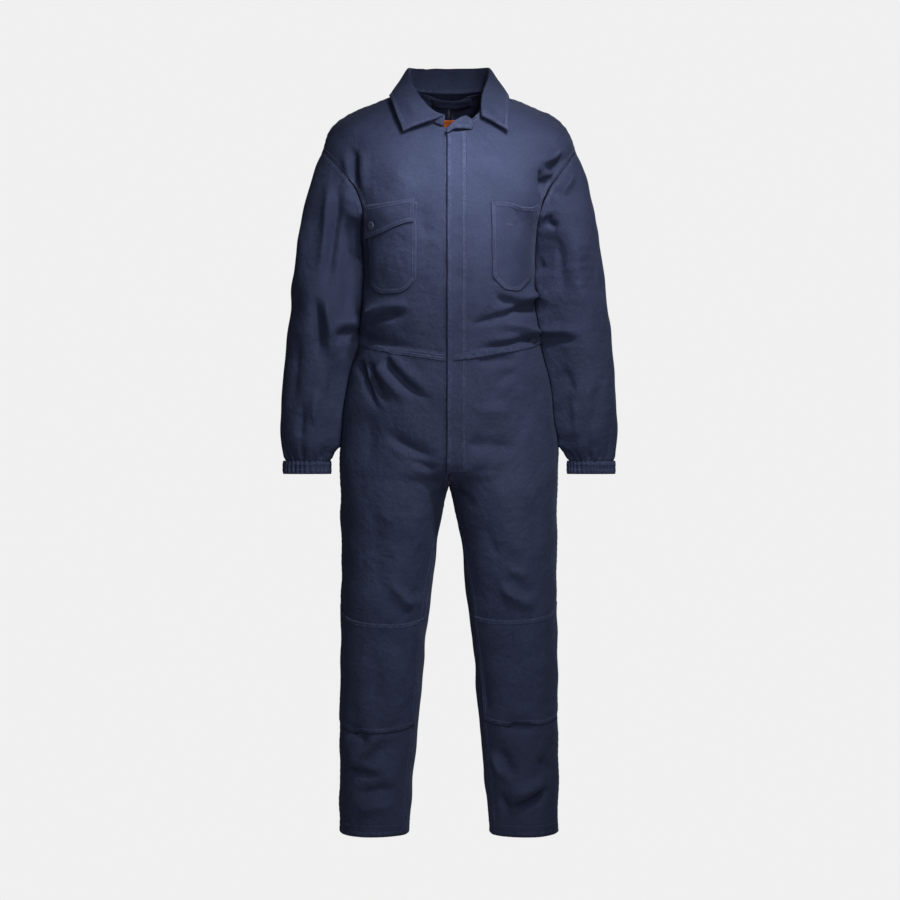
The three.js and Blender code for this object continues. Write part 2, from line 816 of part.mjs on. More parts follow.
function placeButton(mesh) {
  const surface = bodySurface(-1);
  const angle = angleAt(-BUTTON.x, BUTTON.height);
  const point = surface(angle, BUTTON.height);
  const normal = normalOf(surface, angle, BUTTON.height);
  point.addScaledVector(normal, FLAP_LIFT + TRIM_CLOTH + BUTTON.clear);
  mesh.position.set(-point.x, point.y, point.z);
  const out = new THREE.Vector3(-normal.x, normal.y, normal.z);
  mesh.quaternion.setFromUnitVectors(new THREE.Vector3(0, 0, 1), out);
}

// The suit, piece by piece
for (const side of [1, -1]) {
  const name = sideName(side);
  add("front_" + name, bodiceFront(side), cloth());
  add("back_" + name, bodiceBack(side), cloth());
  add("sleeve_" + name, sleeve(side), cloth());
  add("cuff_" + name, cuff(side), cloth());
  add("leg_front_" + name, legPanel(side, false), cloth());
  add("leg_back_" + name, legPanel(side, true), cloth());
  add("knee_patch_" + name, kneePatch(side), cloth());
  add("waist_band_" + name, waistBand(side, false), cloth());
}
add("waist_band_back", waistBand(1, true), cloth());
const stand = collarSurface("neck", "fold", STAND_BOW);
const leaf = collarSurface("edge", "fold", LEAF_BOW);
add("collar_stand", collarPiece(stand, 2, -TRIM_CLOTH, 0), cloth());
add("collar_leaf", collarPiece(leaf, 4, LEAF_CLEAR, LEAF_CLEAR + TRIM_CLOTH), cloth());
add("placket", placket(), cloth());
add("neck_tab", neckTab(), cloth());
add(
  "pocket_right",
  laidOn({ chart: pocketChart(POCKETS.right), columns: POCKET_COLUMNS, rows: POCKET_ROWS, side: -1 }),
  cloth(),
);
add(
  "pocket_left",
  laidOn({
    chart: pocketChart(POCKETS.left),
    columns: POCKET_COLUMNS,
    rows: POCKET_ROWS,
    bulge: mouthBulge,
  }),
  cloth(),
);
add("pocket_flap", laidOn({ chart: flapChart, columns: 6, rows: 3, lift: FLAP_LIFT, side: -1 }), cloth());
placeButton(add("button", buttonGeometry(), cloth(0x3a3f4c, 0.5)));
add("hanger_loop", insideBack(HANGER_LOOP), cloth());
add("neck_label", insideBack(NECK_LABEL), cloth(0xd9642a, 0.8));

export default suit;
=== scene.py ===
"""The cloth, stitching and fittings of a boiler suit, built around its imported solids.

Lengths in the tables are millimetres. Heights count up from a level 15 mm below the hems, x counts from the
centre front towards the wearer's left, and the front faces -Y.
"""

import math

import bmesh
import bpy
import numpy as np
from bpy.props import FloatProperty, FloatVectorProperty, IntProperty, PointerProperty
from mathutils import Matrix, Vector
from mathutils.bvhtree import BVHTree
from mathutils.kdtree import KDTree


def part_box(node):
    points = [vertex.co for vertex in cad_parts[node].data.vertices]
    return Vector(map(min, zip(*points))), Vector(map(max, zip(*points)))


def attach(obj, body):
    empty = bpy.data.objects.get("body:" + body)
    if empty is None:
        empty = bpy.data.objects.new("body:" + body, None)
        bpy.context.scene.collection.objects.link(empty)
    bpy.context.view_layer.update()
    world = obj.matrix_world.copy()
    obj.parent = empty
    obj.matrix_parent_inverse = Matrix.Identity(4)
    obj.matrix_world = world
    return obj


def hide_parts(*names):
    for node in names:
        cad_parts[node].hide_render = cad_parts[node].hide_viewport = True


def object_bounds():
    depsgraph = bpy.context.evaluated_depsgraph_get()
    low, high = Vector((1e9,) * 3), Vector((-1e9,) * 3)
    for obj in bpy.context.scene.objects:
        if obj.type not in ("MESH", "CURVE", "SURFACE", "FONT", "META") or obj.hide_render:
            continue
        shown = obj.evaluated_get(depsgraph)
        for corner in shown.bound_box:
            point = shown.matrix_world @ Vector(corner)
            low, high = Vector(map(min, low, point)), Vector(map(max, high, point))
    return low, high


bl_info = {
    "name": "Boiler suit",
    "version": (1, 0, 0),
    "blender": (4, 5, 0),
    "location": "3D View > Sidebar > Boiler suit",
    "description": "Makes the cloth, stitching and fittings of a boiler suit",
    "category": "Add Mesh",
}

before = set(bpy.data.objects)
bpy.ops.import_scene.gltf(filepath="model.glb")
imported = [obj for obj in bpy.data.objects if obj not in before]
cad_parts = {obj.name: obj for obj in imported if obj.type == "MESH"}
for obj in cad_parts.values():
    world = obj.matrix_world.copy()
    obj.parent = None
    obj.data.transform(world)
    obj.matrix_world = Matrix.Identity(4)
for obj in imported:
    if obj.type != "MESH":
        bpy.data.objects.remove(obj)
CAD_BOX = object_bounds()
MM = 0.001
HEM = CAD_BOX[0].z - 15 * MM

SIDES = {"left": 1, "right": -1}
FRONTS = ["front_left", "front_right"]
BACKS = ["back_left", "back_right"]
BODY_PANELS = FRONTS + BACKS
LEG_PANELS = ["leg_front_left", "leg_front_right", "leg_back_left", "leg_back_right"]
SLEEVES = ["sleeve_left", "sleeve_right"]
PANELS = BODY_PANELS + LEG_PANELS + SLEEVES


def table(columns, rows):
    names = columns.split()
    return [dict(zip(names, row)) for row in rows]


# Folds, as seen from the front or the back: a centre line from one end to the other, how far its middle bends
# to the left of that direction, its half width, and how far it stands out, or in below nothing. A fold that
# leans has a softer hollow or ridge beside it, on the left (1) or the right (-1). It is strongest in the middle
# of its length, or towards its start or end. The last two are left out of a row that has neither.
FOLD_COLUMNS = "x1 h1 x2 h2 bend width rise lean strong"
PLAIN_FOLD = {"lean": 0, "strong": "mid"}


def fold_table(front, back):
    faces = {"front": front, "back": back}
    return [{"face": face, **PLAIN_FOLD, **row} for face in faces for row in table(FOLD_COLUMNS, faces[face])]


BODY_FOLDS = fold_table(
    front=[
        # right side of the bodice, above the waist seam
        (-179, 1031, -70, 1057, 8, 9, 5.5, -1), (-176, 1017, -84, 1040, 7, 7, -4.0),
        (-178, 1000, -30, 962, -6, 12, -4.0, 0, "start"), (-168, 1012, -96, 1024, 4, 8, 2.5, 0, "start"),
        # left side of the bodice
        (80, 1083, 186, 1074, -18, 8, -6.0, 1), (76, 1034, 184, 1094, -4, 9, 5.5, -1, "end"),
        (33, 1016, 160, 1066, -6, 6.5, -5.0), (80, 1023, 184, 1004, 4, 9, 4.5, -1, "end"),
        (30, 969, 182, 996, -5, 7.5, -5.0, 1, "end"), (100, 1043, 186, 1057, 0, 6, -2.5, 0, "end"),
        # shoulders and armholes
        (-189, 1378, -183, 1262, 0, 9, -6.5, 1), (-203, 1366, -193, 1280, 0, 8, 4.0),
        (221, 1374, 177, 1336, 6, 8, 8.0, 1), (192, 1316, 211, 1280, -3, 11, -9.5),
        (246, 1329, 214, 1276, 6, 8, 5.0), (178, 1330, 188, 1270, 0, 6, -6.0), (190, 1238, 208, 1207, 0, 9, -6.0),
        (180, 1186, 192, 1116, 0, 9, -5.5), (-171, 1194, -164, 1085, 0, 9, -5.5),
        (-57, 1252, -40, 1172, 0, 16, -2.0), (-120, 1320, -60, 1290, 0, 22, 1.4),
        (60, 1330, 120, 1300, 0, 22, 1.2),
        # hips, right then left
        (-128, 956, -22, 862, -9, 8, -7.0, 1, "start"), (-160, 951, -113, 852, -5, 6.5, -6.0, 0, "start"),
        (-178, 954, -127, 842, -5, 7.5, -6.0, 0, "start"), (-142, 946, -70, 862, -6, 8, 4.5, 0, "start"),
        (-170, 958, -118, 846, -5, 6, 3.0), (40, 942, 140, 953, 3, 9, -3.0), (88, 909, 140, 932, 0, 9, -3.0),
        (40, 852, 130, 846, 3, 15, 3.0), (32, 786, 158, 772, 5, 13, -3.2, 0, "start"),
        (40, 734, 156, 727, 4, 15, -2.2, 0, "start"),
        # towards the fork
        (-131, 813, -18, 758, -6, 11, -4.2), (-96, 778, -24, 735, -4, 9, -3.2, 0, "end"),
        (-125, 794, -36, 752, -5, 10, 2.4), (-4, 704, -48, 666, 0, 8, -3.0, 0, "start"),
        (8, 704, 60, 656, 0, 8, -3.0, 0, "start"), (-150, 860, -160, 740, 0, 16, -2.4),
        # thighs
        (-124, 536, -68, 468, -5, 11, 4.2, 1, "end"), (-146, 652, -104, 630, 4, 9, 1.0),
        (-134, 590, -96, 570, 3, 9, 0.9), (94, 516, 172, 470, -6, 11, 4.2, 1), (108, 550, 158, 531, -3, 9, 2.2),
        (-154, 716, -138, 482, 4, 24, -2.6), (176, 716, 186, 482, -4, 24, -2.6), (64, 640, 96, 560, 0, 15, -1.8),
        # knees
        (-150, 404, -142, 248, 3, 15, -2.4), (56, 366, 72, 256, 2, 13, -2.6, 0, "end"),
        (186, 384, 176, 248, -2, 15, 2.0), (-84, 380, -96, 280, 0, 15, 1.4),
        # lower right leg
        (-201, 238, -150, 190, 0, 12, -4.0), (-122, 224, -202, 146, -5, 12, 4.5, 1),
        (-200, 148, -118, 135, -4, 8, -5.0, 1, "start"), (-190, 92, -104, 110, 5, 10, -4.0),
        (-190, 64, -96, 76, 4, 10, 2.8),
        # lower left leg
        (84, 186, 116, 122, -3, 8.5, 5.5, 1), (98, 240, 178, 232, -4, 10, -4.0),
        (114, 68, 204, 112, -4, 8, -8.0, 1), (106, 94, 198, 134, -4, 10, 5.0), (96, 102, 122, 62, 0, 8, -4.5),
        (168, 170, 208, 140, 0, 9, -3.5),
    ],
    back=[
        # back of the bodice
        (-172, 1040, -40, 1066, 8, 10, 5.5, 1, "start"), (176, 1046, 60, 1070, -8, 10, 5.5, -1, "start"),
        (-150, 1014, -20, 1024, 6, 8, -5.0), (160, 1018, 36, 1020, -6, 8, -5.0), (-60, 1092, 70, 1086, 9, 11, 3.0),
        (-186, 1330, -150, 1180, 4, 12, -7.0, 1), (188, 1326, 154, 1176, -4, 12, -7.0, -1),
        (-120, 1400, -40, 1340, 6, 20, 1.8), (110, 1396, 44, 1330, -6, 20, 1.8),
        (-110, 1180, 90, 1150, 14, 18, -2.0),
        # seat
        (-168, 948, -66, 872, 7, 9, -6.5, -1, "start"), (170, 950, 76, 866, -7, 9, -6.5, 1, "start"),
        (-140, 962, -60, 900, 6, 8, 3.5, 0, "start"), (30, 966, 90, 894, -6, 8, 3.0, 0, "start"),
        (-18, 742, -142, 700, -8, 11, -6.0, 1, "start"), (20, 748, 150, 704, 8, 11, -6.0, -1, "start"),
        (-26, 716, -120, 654, -8, 10, 4.0, 0, "start"), (24, 712, 116, 662, 8, 10, 4.0, 0, "start"),
        # back of the legs
        (-66, 452, -188, 470, -6, 10, -6.0, 1), (60, 448, 190, 426, 6, 10, -6.0, -1),
        (-80, 480, -180, 502, -5, 11, 4.0), (80, 420, 180, 396, 6, 11, 4.0), (-120, 620, -168, 540, 0, 16, -2.5),
        (130, 610, 172, 520, 0, 16, -2.5), (-90, 100, -190, 138, -5, 10, -5.5, 1),
        (94, 128, 192, 84, 5, 10, -5.5, -1), (-92, 70, -180, 92, -5, 10, 3.5), (100, 94, 190, 56, 5, 10, 3.5),
        (-110, 250, -186, 222, 4, 12, -3.0), (104, 236, 180, 262, -4, 12, -3.0),
    ],
)

SLEEVE_FOLDS = fold_table(
    front=[
        # right sleeve
        (-236, 1322, -262, 1090, 8, 10, 5.5, 1), (-222, 1310, -246, 1078, 6, 12, -5.0),
        (-206, 1250, -176, 1130, 0, 11, -5.0), (-214, 1200, -188, 1030, 0, 12, -4.5, 0, "end"),
        (-264, 1090, -256, 950, 4, 9, -5.5, 1), (-248, 1080, -232, 946, 4, 9, 4.5),
        (-242, 980, -186, 1012, 5, 8, -5.5, -1, "end"), (-246, 1000, -200, 1030, 4, 8, 3.0, 0, "end"),
        (-300, 1010, -310, 850, 0, 14, -3.5), (-224, 968, -234, 832, 0, 12, -4.0),
        (-290, 1250, -318, 1050, 6, 14, 2.6), (-262, 900, -270, 820, 0, 9, 3.0),
        (-286, 880, -294, 800, 0, 8, -3.2, 0, "end"),
        # left sleeve
        (194, 998, 264, 986, 3, 7, -4.5, 1, "start"), (196, 1014, 276, 1002, 3, 8, 3.0, 0, "start"),
        (202, 1212, 228, 1064, 4, 15, -4.0), (246, 1262, 266, 1028, -4, 17, 3.2),
        (206, 850, 238, 780, 0, 9, -5.0, 1), (294, 910, 286, 812, 0, 12, -3.0), (246, 882, 256, 794, 0, 10, 3.0),
        (286, 1200, 304, 1050, -4, 14, -2.2), (226, 940, 246, 886, 0, 10, -2.8),
        (226, 1140, 316, 1148, 4, 6, -1.1), (230, 1122, 318, 1128, 4, 6, -1.1), (226, 1104, 320, 1112, 4, 6, -1.0),
        (234, 1086, 320, 1092, 4, 6, -1.0), (236, 1162, 312, 1168, 4, 6, -0.9),
    ],
    back=[
        # backs of the sleeves
        (-206, 1046, -294, 1004, 4, 10, -6.5, 1, "start"), (212, 1052, 300, 1016, -4, 10, -6.5, -1, "start"),
        (-210, 1076, -296, 1036, 4, 11, 4.0, 0, "start"), (214, 1080, 304, 1044, -4, 11, 4.0, 0, "start"),
        (-236, 1290, -286, 1110, 8, 12, -5.0, 1), (238, 1296, 290, 1116, -8, 12, -5.0, -1),
        (-300, 960, -306, 830, 0, 12, -3.5), (250, 950, 262, 810, 0, 12, -3.5), (-240, 900, -250, 790, 0, 10, 3.0),
        (296, 900, 290, 800, 0, 10, 3.0),
    ],
)

STRENGTH_ENDS = {"mid": (0.34, 0.34), "start": (0.12, 0.62), "end": (0.62, 0.12)}


# Sizes and colours that a user would change


def length(name, description, default):
    return FloatProperty(name=name, description=description, default=default, unit="LENGTH")


def number(name, description, default):
    return FloatProperty(name=name, description=description, default=default)


def whole(name, description, default):
    return IntProperty(name=name, description=description, default=default)


def colour(name, description, default):
    return FloatVectorProperty(name=name, description=description, default=default, subtype="COLOR")


class ClothSizes(bpy.types.PropertyGroup):
    thickness: length("Cloth thickness", "Thickness of one layer of cloth", 0.0012)
    longest_edge: length("Longest edge", "Edges longer than this are halved first", 0.062)
    levels: whole("Fineness", "How many times each face is split in four", 3)
    fold_depth: number("Fold depth", "Scales how far every fold stands out", 2.3)
    pucker: length("Pucker", "How far the cloth gathers along a seam", 0.0006)
    ripple: length("Ripple", "How far the cloth is from flat between its folds", 0.0007)


class StitchSizes(bpy.types.PropertyGroup):
    pitch: length("Pitch", "From one stitch to the next", 0.0034)
    length: length("Length", "Length of a stitch", 0.0027)
    thread: length("Thread", "Thickness of the thread", 0.0009)
    edge: length("Edge row", "From the edge to the first row", 0.002)
    double: length("Second row", "From the edge to the second row", 0.0075)
    band: length("Band row", "From the edge of a waist band to its middle row", 0.0066)
    hem: length("Hem", "Height of the leg hems", 0.022)


class Colours(bpy.types.PropertyGroup):
    navy: colour("Twill", "Colour of the cloth", (0.038, 0.049, 0.110))
    # The paler twill colour stands for nap paled by rubbing, and also for painted highlights on the seam bands and
    # cloth edges.
    worn_and_highlit: colour("Worn and highlit twill", "Colour where the nap is rubbed", (0.066, 0.084, 0.176))
    thread: colour("Thread", "Colour of the stitching", (0.110, 0.132, 0.27))
    tape: colour("Loop", "Colour of the hanger loop", (0.026, 0.034, 0.086))
    label: colour("Label", "Colour of the neck label", (0.72, 0.16, 0.035))
    button: colour("Button", "Colour of the button", (0.050, 0.060, 0.105))


class StageSizes(bpy.types.PropertyGroup):
    distance: length("Camera distance", "From the camera to the suit", 4.1)
    eye_height: length("Camera height", "Above the level that heights count from", 0.776)
    lens: number("Lens", "Focal length in millimetres", 82.0)
    key: number("Key light", "Watts of the main light", 54.0)
    chest: number("Chest light", "Watts of the narrow light on the chest", 54.0)
    front: number("Front light", "Watts of the low light in front", 4.6)
    fill: number("Fill light", "Watts of each side light", 1.6)
    ambient: number("Ambient", "Strength of the light all round", 0.05)
    backdrop: number("Backdrop", "Brightness behind the suit", 0.871)


class SuitSettings(bpy.types.PropertyGroup):
    cloth: PointerProperty(type=ClothSizes, name="Cloth", description="Sizes of the cloth")
    stitch: PointerProperty(type=StitchSizes, name="Stitches", description="Sizes of the stitching")
    colours: PointerProperty(type=Colours, name="Colours", description="Colours of the suit")
    stage: PointerProperty(type=StageSizes, name="Stage", description="Light and camera")


def settings():
    return bpy.context.scene.boiler_suit


# Working on meshes as arrays


def ease(t):
    t = np.clip(t, 0, 1)
    return t * t * (3 - 2 * t)


def points_of(mesh):
    co = np.empty(len(mesh.vertices) * 3)
    mesh.vertices.foreach_get("co", co)
    return co.reshape(-1, 3)


def normals_of(mesh):
    mesh.update()
    n = np.empty(len(mesh.vertices) * 3)
    mesh.vertex_normals.foreach_get("vector", n)
    return n.reshape(-1, 3)


def set_points(mesh, points):
    mesh.vertices.foreach_set("co", points.ravel())
    mesh.update()


def boundary_edges(mesh):
    ends = np.empty(len(mesh.edges) * 2, int)
    mesh.edges.foreach_get("vertices", ends)
    used = np.empty(len(mesh.loops), int)
    mesh.loops.foreach_get("edge_index", used)
    count = np.bincount(used, minlength=len(mesh.edges))
    return ends.reshape(-1, 2)[count == 1]


def tree_of(points):
    tree = KDTree(len(points))
    for i, p in enumerate(points):
        tree.insert(p, i)
    tree.balance()
    return tree


EDGE_SAMPLES = 5


def distance_to_edge(mesh, keep=lambda points: np.ones(len(points), bool)):
    """How far each vertex is from the mesh's open edges, or from those that keep picks."""
    co = points_of(mesh)
    edges = boundary_edges(mesh)
    a, b = co[edges[:, 0]], co[edges[:, 1]]
    picked = keep((a + b) / 2)
    a, b = a[picked], b[picked]
    samples = np.concatenate([a + (b - a) * k / EDGE_SAMPLES for k in range(EDGE_SAMPLES)])
    tree = tree_of(samples)
    return np.array([tree.find(p)[2] for p in co])


# Making cloth from a solid's skin

RIM = 3 * MM
MERGE = 0.01 * MM


def islands(bm):
    left = set(bm.faces)
    found = []
    while left:
        queue = [left.pop()]
        group = []
        while queue:
            face = queue.pop()
            group.append(face)
            for edge in face.edges:
                for other in edge.link_faces:
                    if other in left:
                        left.discard(other)
                        queue.append(other)
        found.append(group)
    return found


def skin_of(node, outer=True, facing=None):
    """One skin of a cloth solid, in four-sided faces: its outer one, its inner one, or the one that faces a way."""
    bm = bmesh.new()
    bm.from_mesh(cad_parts[node].data)
    bmesh.ops.remove_doubles(bm, verts=bm.verts, dist=MERGE)
    rims = [f for f in bm.faces if min(e.calc_length() for e in f.edges) < RIM]
    bmesh.ops.delete(bm, geom=rims, context="FACES")

    def size(group):
        if facing is None:
            return sum(f.calc_area() for f in group) * (1 if outer else -1)
        return sum(f.calc_area() * f.normal.dot(facing) for f in group)

    large = sorted(islands(bm), key=len)[-2:]
    kept = set(max(large, key=size))
    bmesh.ops.delete(bm, geom=[f for f in bm.faces if f not in kept], context="FACES")
    bmesh.ops.join_triangles(
        bm,
        faces=bm.faces[:],
        angle_face_threshold=math.pi,
        angle_shape_threshold=math.pi,
        topology_influence=2.0,
    )
    return bm


def object_of(name, mesh):
    made = bpy.data.objects.new(name, mesh)
    bpy.context.scene.collection.objects.link(made)
    return made


CORNER = math.radians(32)
CENTRE_CORNER = math.radians(10)
CENTRE = 1 * MM


def keep_corners(bm):
    """Holds the corners of a sheet's outline, so that dividing it does not round them off."""
    crease = bm.verts.layers.float.new("crease_vert")
    for vert in bm.verts:
        ends = [e.other_vert(vert).co - vert.co for e in vert.link_edges if e.is_boundary]
        least = CENTRE_CORNER if abs(vert.co.x) < CENTRE else CORNER
        if len(ends) == 2 and ends[0].angle(-ends[1]) > least:
            vert[crease] = 1.0


def fine_cloth(name, bm, levels=None):
    """A smooth, finely divided sheet on the form of a coarse one."""
    size = settings().cloth
    long_edges = [e for e in bm.edges if e.calc_length() > size.longest_edge]
    bmesh.ops.subdivide_edges(bm, edges=long_edges, cuts=1, use_grid_fill=True)
    keep_corners(bm)
    mesh = bpy.data.meshes.new(name)
    bm.to_mesh(mesh)
    bm.free()
    rough = object_of(name + "_rough", mesh)
    divide = rough.modifiers.new("Divide", "SUBSURF")
    divide.levels = divide.render_levels = levels or size.levels
    divide.boundary_smooth = "PRESERVE_CORNERS"
    ready = rough.evaluated_get(bpy.context.evaluated_depsgraph_get())
    fine = bpy.data.meshes.new_from_object(ready)
    bpy.data.objects.remove(rough)
    fine.name = name
    for polygon in fine.polygons:
        polygon.use_smooth = True
    return object_of(name, fine)


def fold_rise(folds, x, h, face):
    """How far the folds of one face push each point out, in millimetres."""
    rise = np.zeros(len(x))
    for fold in folds:
        if fold["face"] != face:
            continue
        along = np.array([fold["x2"] - fold["x1"], fold["h2"] - fold["h1"]], float)
        length = np.hypot(*along)
        along /= length
        rx, rh = x - fold["x1"], h - fold["h1"]
        t = (rx * along[0] + rh * along[1]) / length
        off = rh * along[0] - rx * along[1] - fold["bend"] * 4 * t * (1 - t)
        first, last = STRENGTH_ENDS[fold["strong"]]
        strength = ease(t / first) * ease((1 - t) / last)
        width = fold["width"]
        shape = np.exp(-np.abs(off / width) ** 1.7)
        if fold["lean"]:
            beside = off - fold["lean"] * 1.9 * width
            shape = shape - 0.45 * np.exp(-((beside / (1.25 * width)) ** 2))
        rise += fold["rise"] * strength * shape
    return rise


TURN_FADE = 2.4


def folds_on(points, normals, folds):
    x = points[:, 0] / MM
    h = (points[:, 2] - HEM) / MM
    rise = np.zeros(len(points))
    for face, away in (("front", -1), ("back", 1)):
        rise += fold_rise(folds, x, h, face) * ease(normals[:, 1] * away * TURN_FADE)
    return rise * MM * settings().cloth.fold_depth


# Slow waves that keep the cloth from lying dead flat: a wavelength across, one up, and a phase.
RIPPLES = table(
    "across up phase share",
    [(170, 96, 0.4, 1.0), (-120, 210, 1.9, 0.9), (83, 150, 3.1, 0.5), (64, -70, 5.0, 0.4), (-43, 58, 2.2, 0.25)],
)
PUCKER_WAVE = 13.0
PUCKER_WIDTH = 5.5 * MM


def ripples_on(points):
    x, y, z = (points / MM).T
    around = x + 0.8 * y
    rise = np.zeros(len(points))
    for wave in RIPPLES:
        phase = 2 * math.pi * (around / wave["across"] + z / wave["up"]) + wave["phase"]
        rise += wave["share"] * np.sin(phase + 0.8 * np.sin(z / 61 + x / 47))
    return rise * settings().cloth.ripple


def puckers_on(points, edge_distance):
    x, y, z = (points / MM).T
    level = np.sin(2 * math.pi * (x + y) / PUCKER_WAVE + 1.3 * np.sin(z / 9 + x / 17))
    upright = np.sin(2 * math.pi * z / PUCKER_WAVE + 1.3 * np.sin(z / 23 + x / 11))
    return (level + upright) / 2 * settings().cloth.pucker * np.exp(-((edge_distance / PUCKER_WIDTH) ** 2))


SEAM_HOLD = 0.3
SEAM_FADE = 15 * MM


def wrinkle(piece, folds, extra=None):
    """Pushes a sheet's points out along their normals by its folds, its slow ripples and the puckers of its seams."""
    mesh = piece.data
    points, normals = points_of(mesh), normals_of(mesh)
    near = distance_to_edge(mesh)
    held = SEAM_HOLD + (1 - SEAM_HOLD) * ease(near / SEAM_FADE)
    rise = folds_on(points, normals, folds) * held + ripples_on(points) + puckers_on(points, near)
    if extra is not None:
        rise = rise + extra(points)
    set_points(mesh, points + normals * rise[:, None])


SEAM_REACH = 9 * MM
SEAM_BLEND = 16 * MM


def remember_plain(piece):
    """Keeps where a sheet's points are before it is folded."""
    plain = piece.data.attributes.new("plain", "FLOAT_VECTOR", "POINT")
    plain.data.foreach_set("vector", points_of(piece.data).astype(np.float32).ravel())


def plain_points(mesh):
    points = np.empty(len(mesh.vertices) * 3, np.float32)
    mesh.attributes["plain"].data.foreach_get("vector", points)
    return points.reshape(-1, 3).astype(float)


def close_seams(pieces):
    """Draws the edges of neighbouring panels together, and the cloth beside them, so that no gap shows."""
    sheets = {}
    for piece in pieces:
        rim = np.unique(boundary_edges(piece.data))
        plain = plain_points(piece.data)
        sheets[piece.name] = (rim, plain, points_of(piece.data), tree_of(plain[rim]))
    for piece in pieces:
        rim, plain, points, own = sheets[piece.name]
        shift = np.zeros((len(rim), 3))
        for k, i in enumerate(rim):
            best = SEAM_REACH
            for other, (other_rim, other_plain, other_points, tree) in sheets.items():
                if other == piece.name:
                    continue
                _, nearest, gap = tree.find(plain[i])
                if gap < best:
                    best = gap
                    there = other_points[other_rim[nearest]]
                    meeting = (plain[i] - other_plain[other_rim[nearest]]) / 2
                    shift[k] = (there + meeting - points[i]) / 2
        moved = points.copy()
        for i in range(len(points)):
            _, nearest, gap = own.find(plain[i])
            if gap < SEAM_BLEND:
                moved[i] += shift[nearest] * (1 - ease(gap / SEAM_BLEND))
        set_points(piece.data, moved)


def surface_of(pieces):
    """A tree of the outer skins of some pieces, to lay other cloth on."""
    vertices, faces, start = [], [], 0
    for piece in pieces:
        mesh = piece.data
        vertices.extend(points_of(mesh).tolist())
        faces.extend([[start + i for i in polygon.vertices] for polygon in mesh.polygons])
        start = len(vertices)
    return BVHTree.FromPolygons(vertices, faces)


def lay_on(piece, surface, lift, settle=2):
    """Lays a sheet on a surface: each point goes to the nearest place on it, and out by lift."""
    mesh = piece.data
    points = points_of(mesh)
    lifts = lift(points) if callable(lift) else np.full(len(points), lift)
    placed = np.empty_like(points)
    for i, point in enumerate(points):
        place, normal, _, _ = surface.find_nearest(point)
        placed[i] = place + normal * lifts[i]
    set_points(mesh, placed)
    bm = bmesh.new()
    bm.from_mesh(mesh)
    inner = [v for v in bm.verts if not v.is_boundary]
    for _ in range(settle):
        bmesh.ops.smooth_vert(bm, verts=inner, factor=0.5, use_axis_x=True, use_axis_y=True, use_axis_z=True)
    bm.to_mesh(mesh)
    bm.free()


# Charts for the weave


def chart(piece, centre=(0.0, 0.0), radius=0.17, lean=0.0, flat=False):
    """Gives a sheet a UV map in metres: round an upright axis, or straight across a flat piece, and up."""
    mesh = piece.data
    points = points_of(mesh)
    middle = centre[0] + lean * (points[:, 2] - HEM)
    if flat:
        u = points[:, 0]
    else:
        u = radius * np.arctan2(points[:, 0] - middle, centre[1] - points[:, 1])
    layer = mesh.uv_layers.new(name="cloth")
    corner = np.empty(len(mesh.loops), int)
    mesh.loops.foreach_get("vertex_index", corner)
    u = u[corner].reshape(-1, 4)
    turn = 2 * math.pi * radius
    u = np.where(u.max(1, keepdims=True) - u > turn / 2, u + turn, u) if not flat else u
    v = points[corner, 2] - HEM
    layer.data.foreach_set("uv", np.column_stack([u.ravel(), v]).ravel())


def note_edges(piece):
    """Keeps each point's distance from the sheet's edge, in millimetres, for the seams in its material."""
    near = distance_to_edge(piece.data) / MM
    attribute = piece.data.attributes.new("edge_distance", "FLOAT", "POINT")
    attribute.data.foreach_set("value", near.astype(np.float32))


def thicken(piece, thickness=None):
    shell = piece.modifiers.new("Cloth", "SOLIDIFY")
    shell.thickness = thickness or settings().cloth.thickness
    shell.offset = -1.0


def declare(piece, nodes):
    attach(piece, "root")
    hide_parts(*nodes)


def laid(node, surface, lift):
    piece = fine_cloth(cloth_name(node), skin_of(node))
    lay_on(piece, surface, lift)
    return piece


def finish_cloth(piece, node, material, thickness=None):
    note_edges(piece)
    thicken(piece, thickness)
    piece.data.materials.clear()
    piece.data.materials.append(material)
    nodes = [node] if isinstance(node, str) else node
    declare(piece, nodes)


# Materials


def group_of(name, inputs, outputs):
    group = bpy.data.node_groups.new(name, "ShaderNodeTree")
    for label, kind, default in inputs:
        socket = group.interface.new_socket(name=label, in_out="INPUT", socket_type=kind)
        if default is not None:
            socket.default_value = default
    for label, kind in outputs:
        group.interface.new_socket(name=label, in_out="OUTPUT", socket_type=kind)
    return group


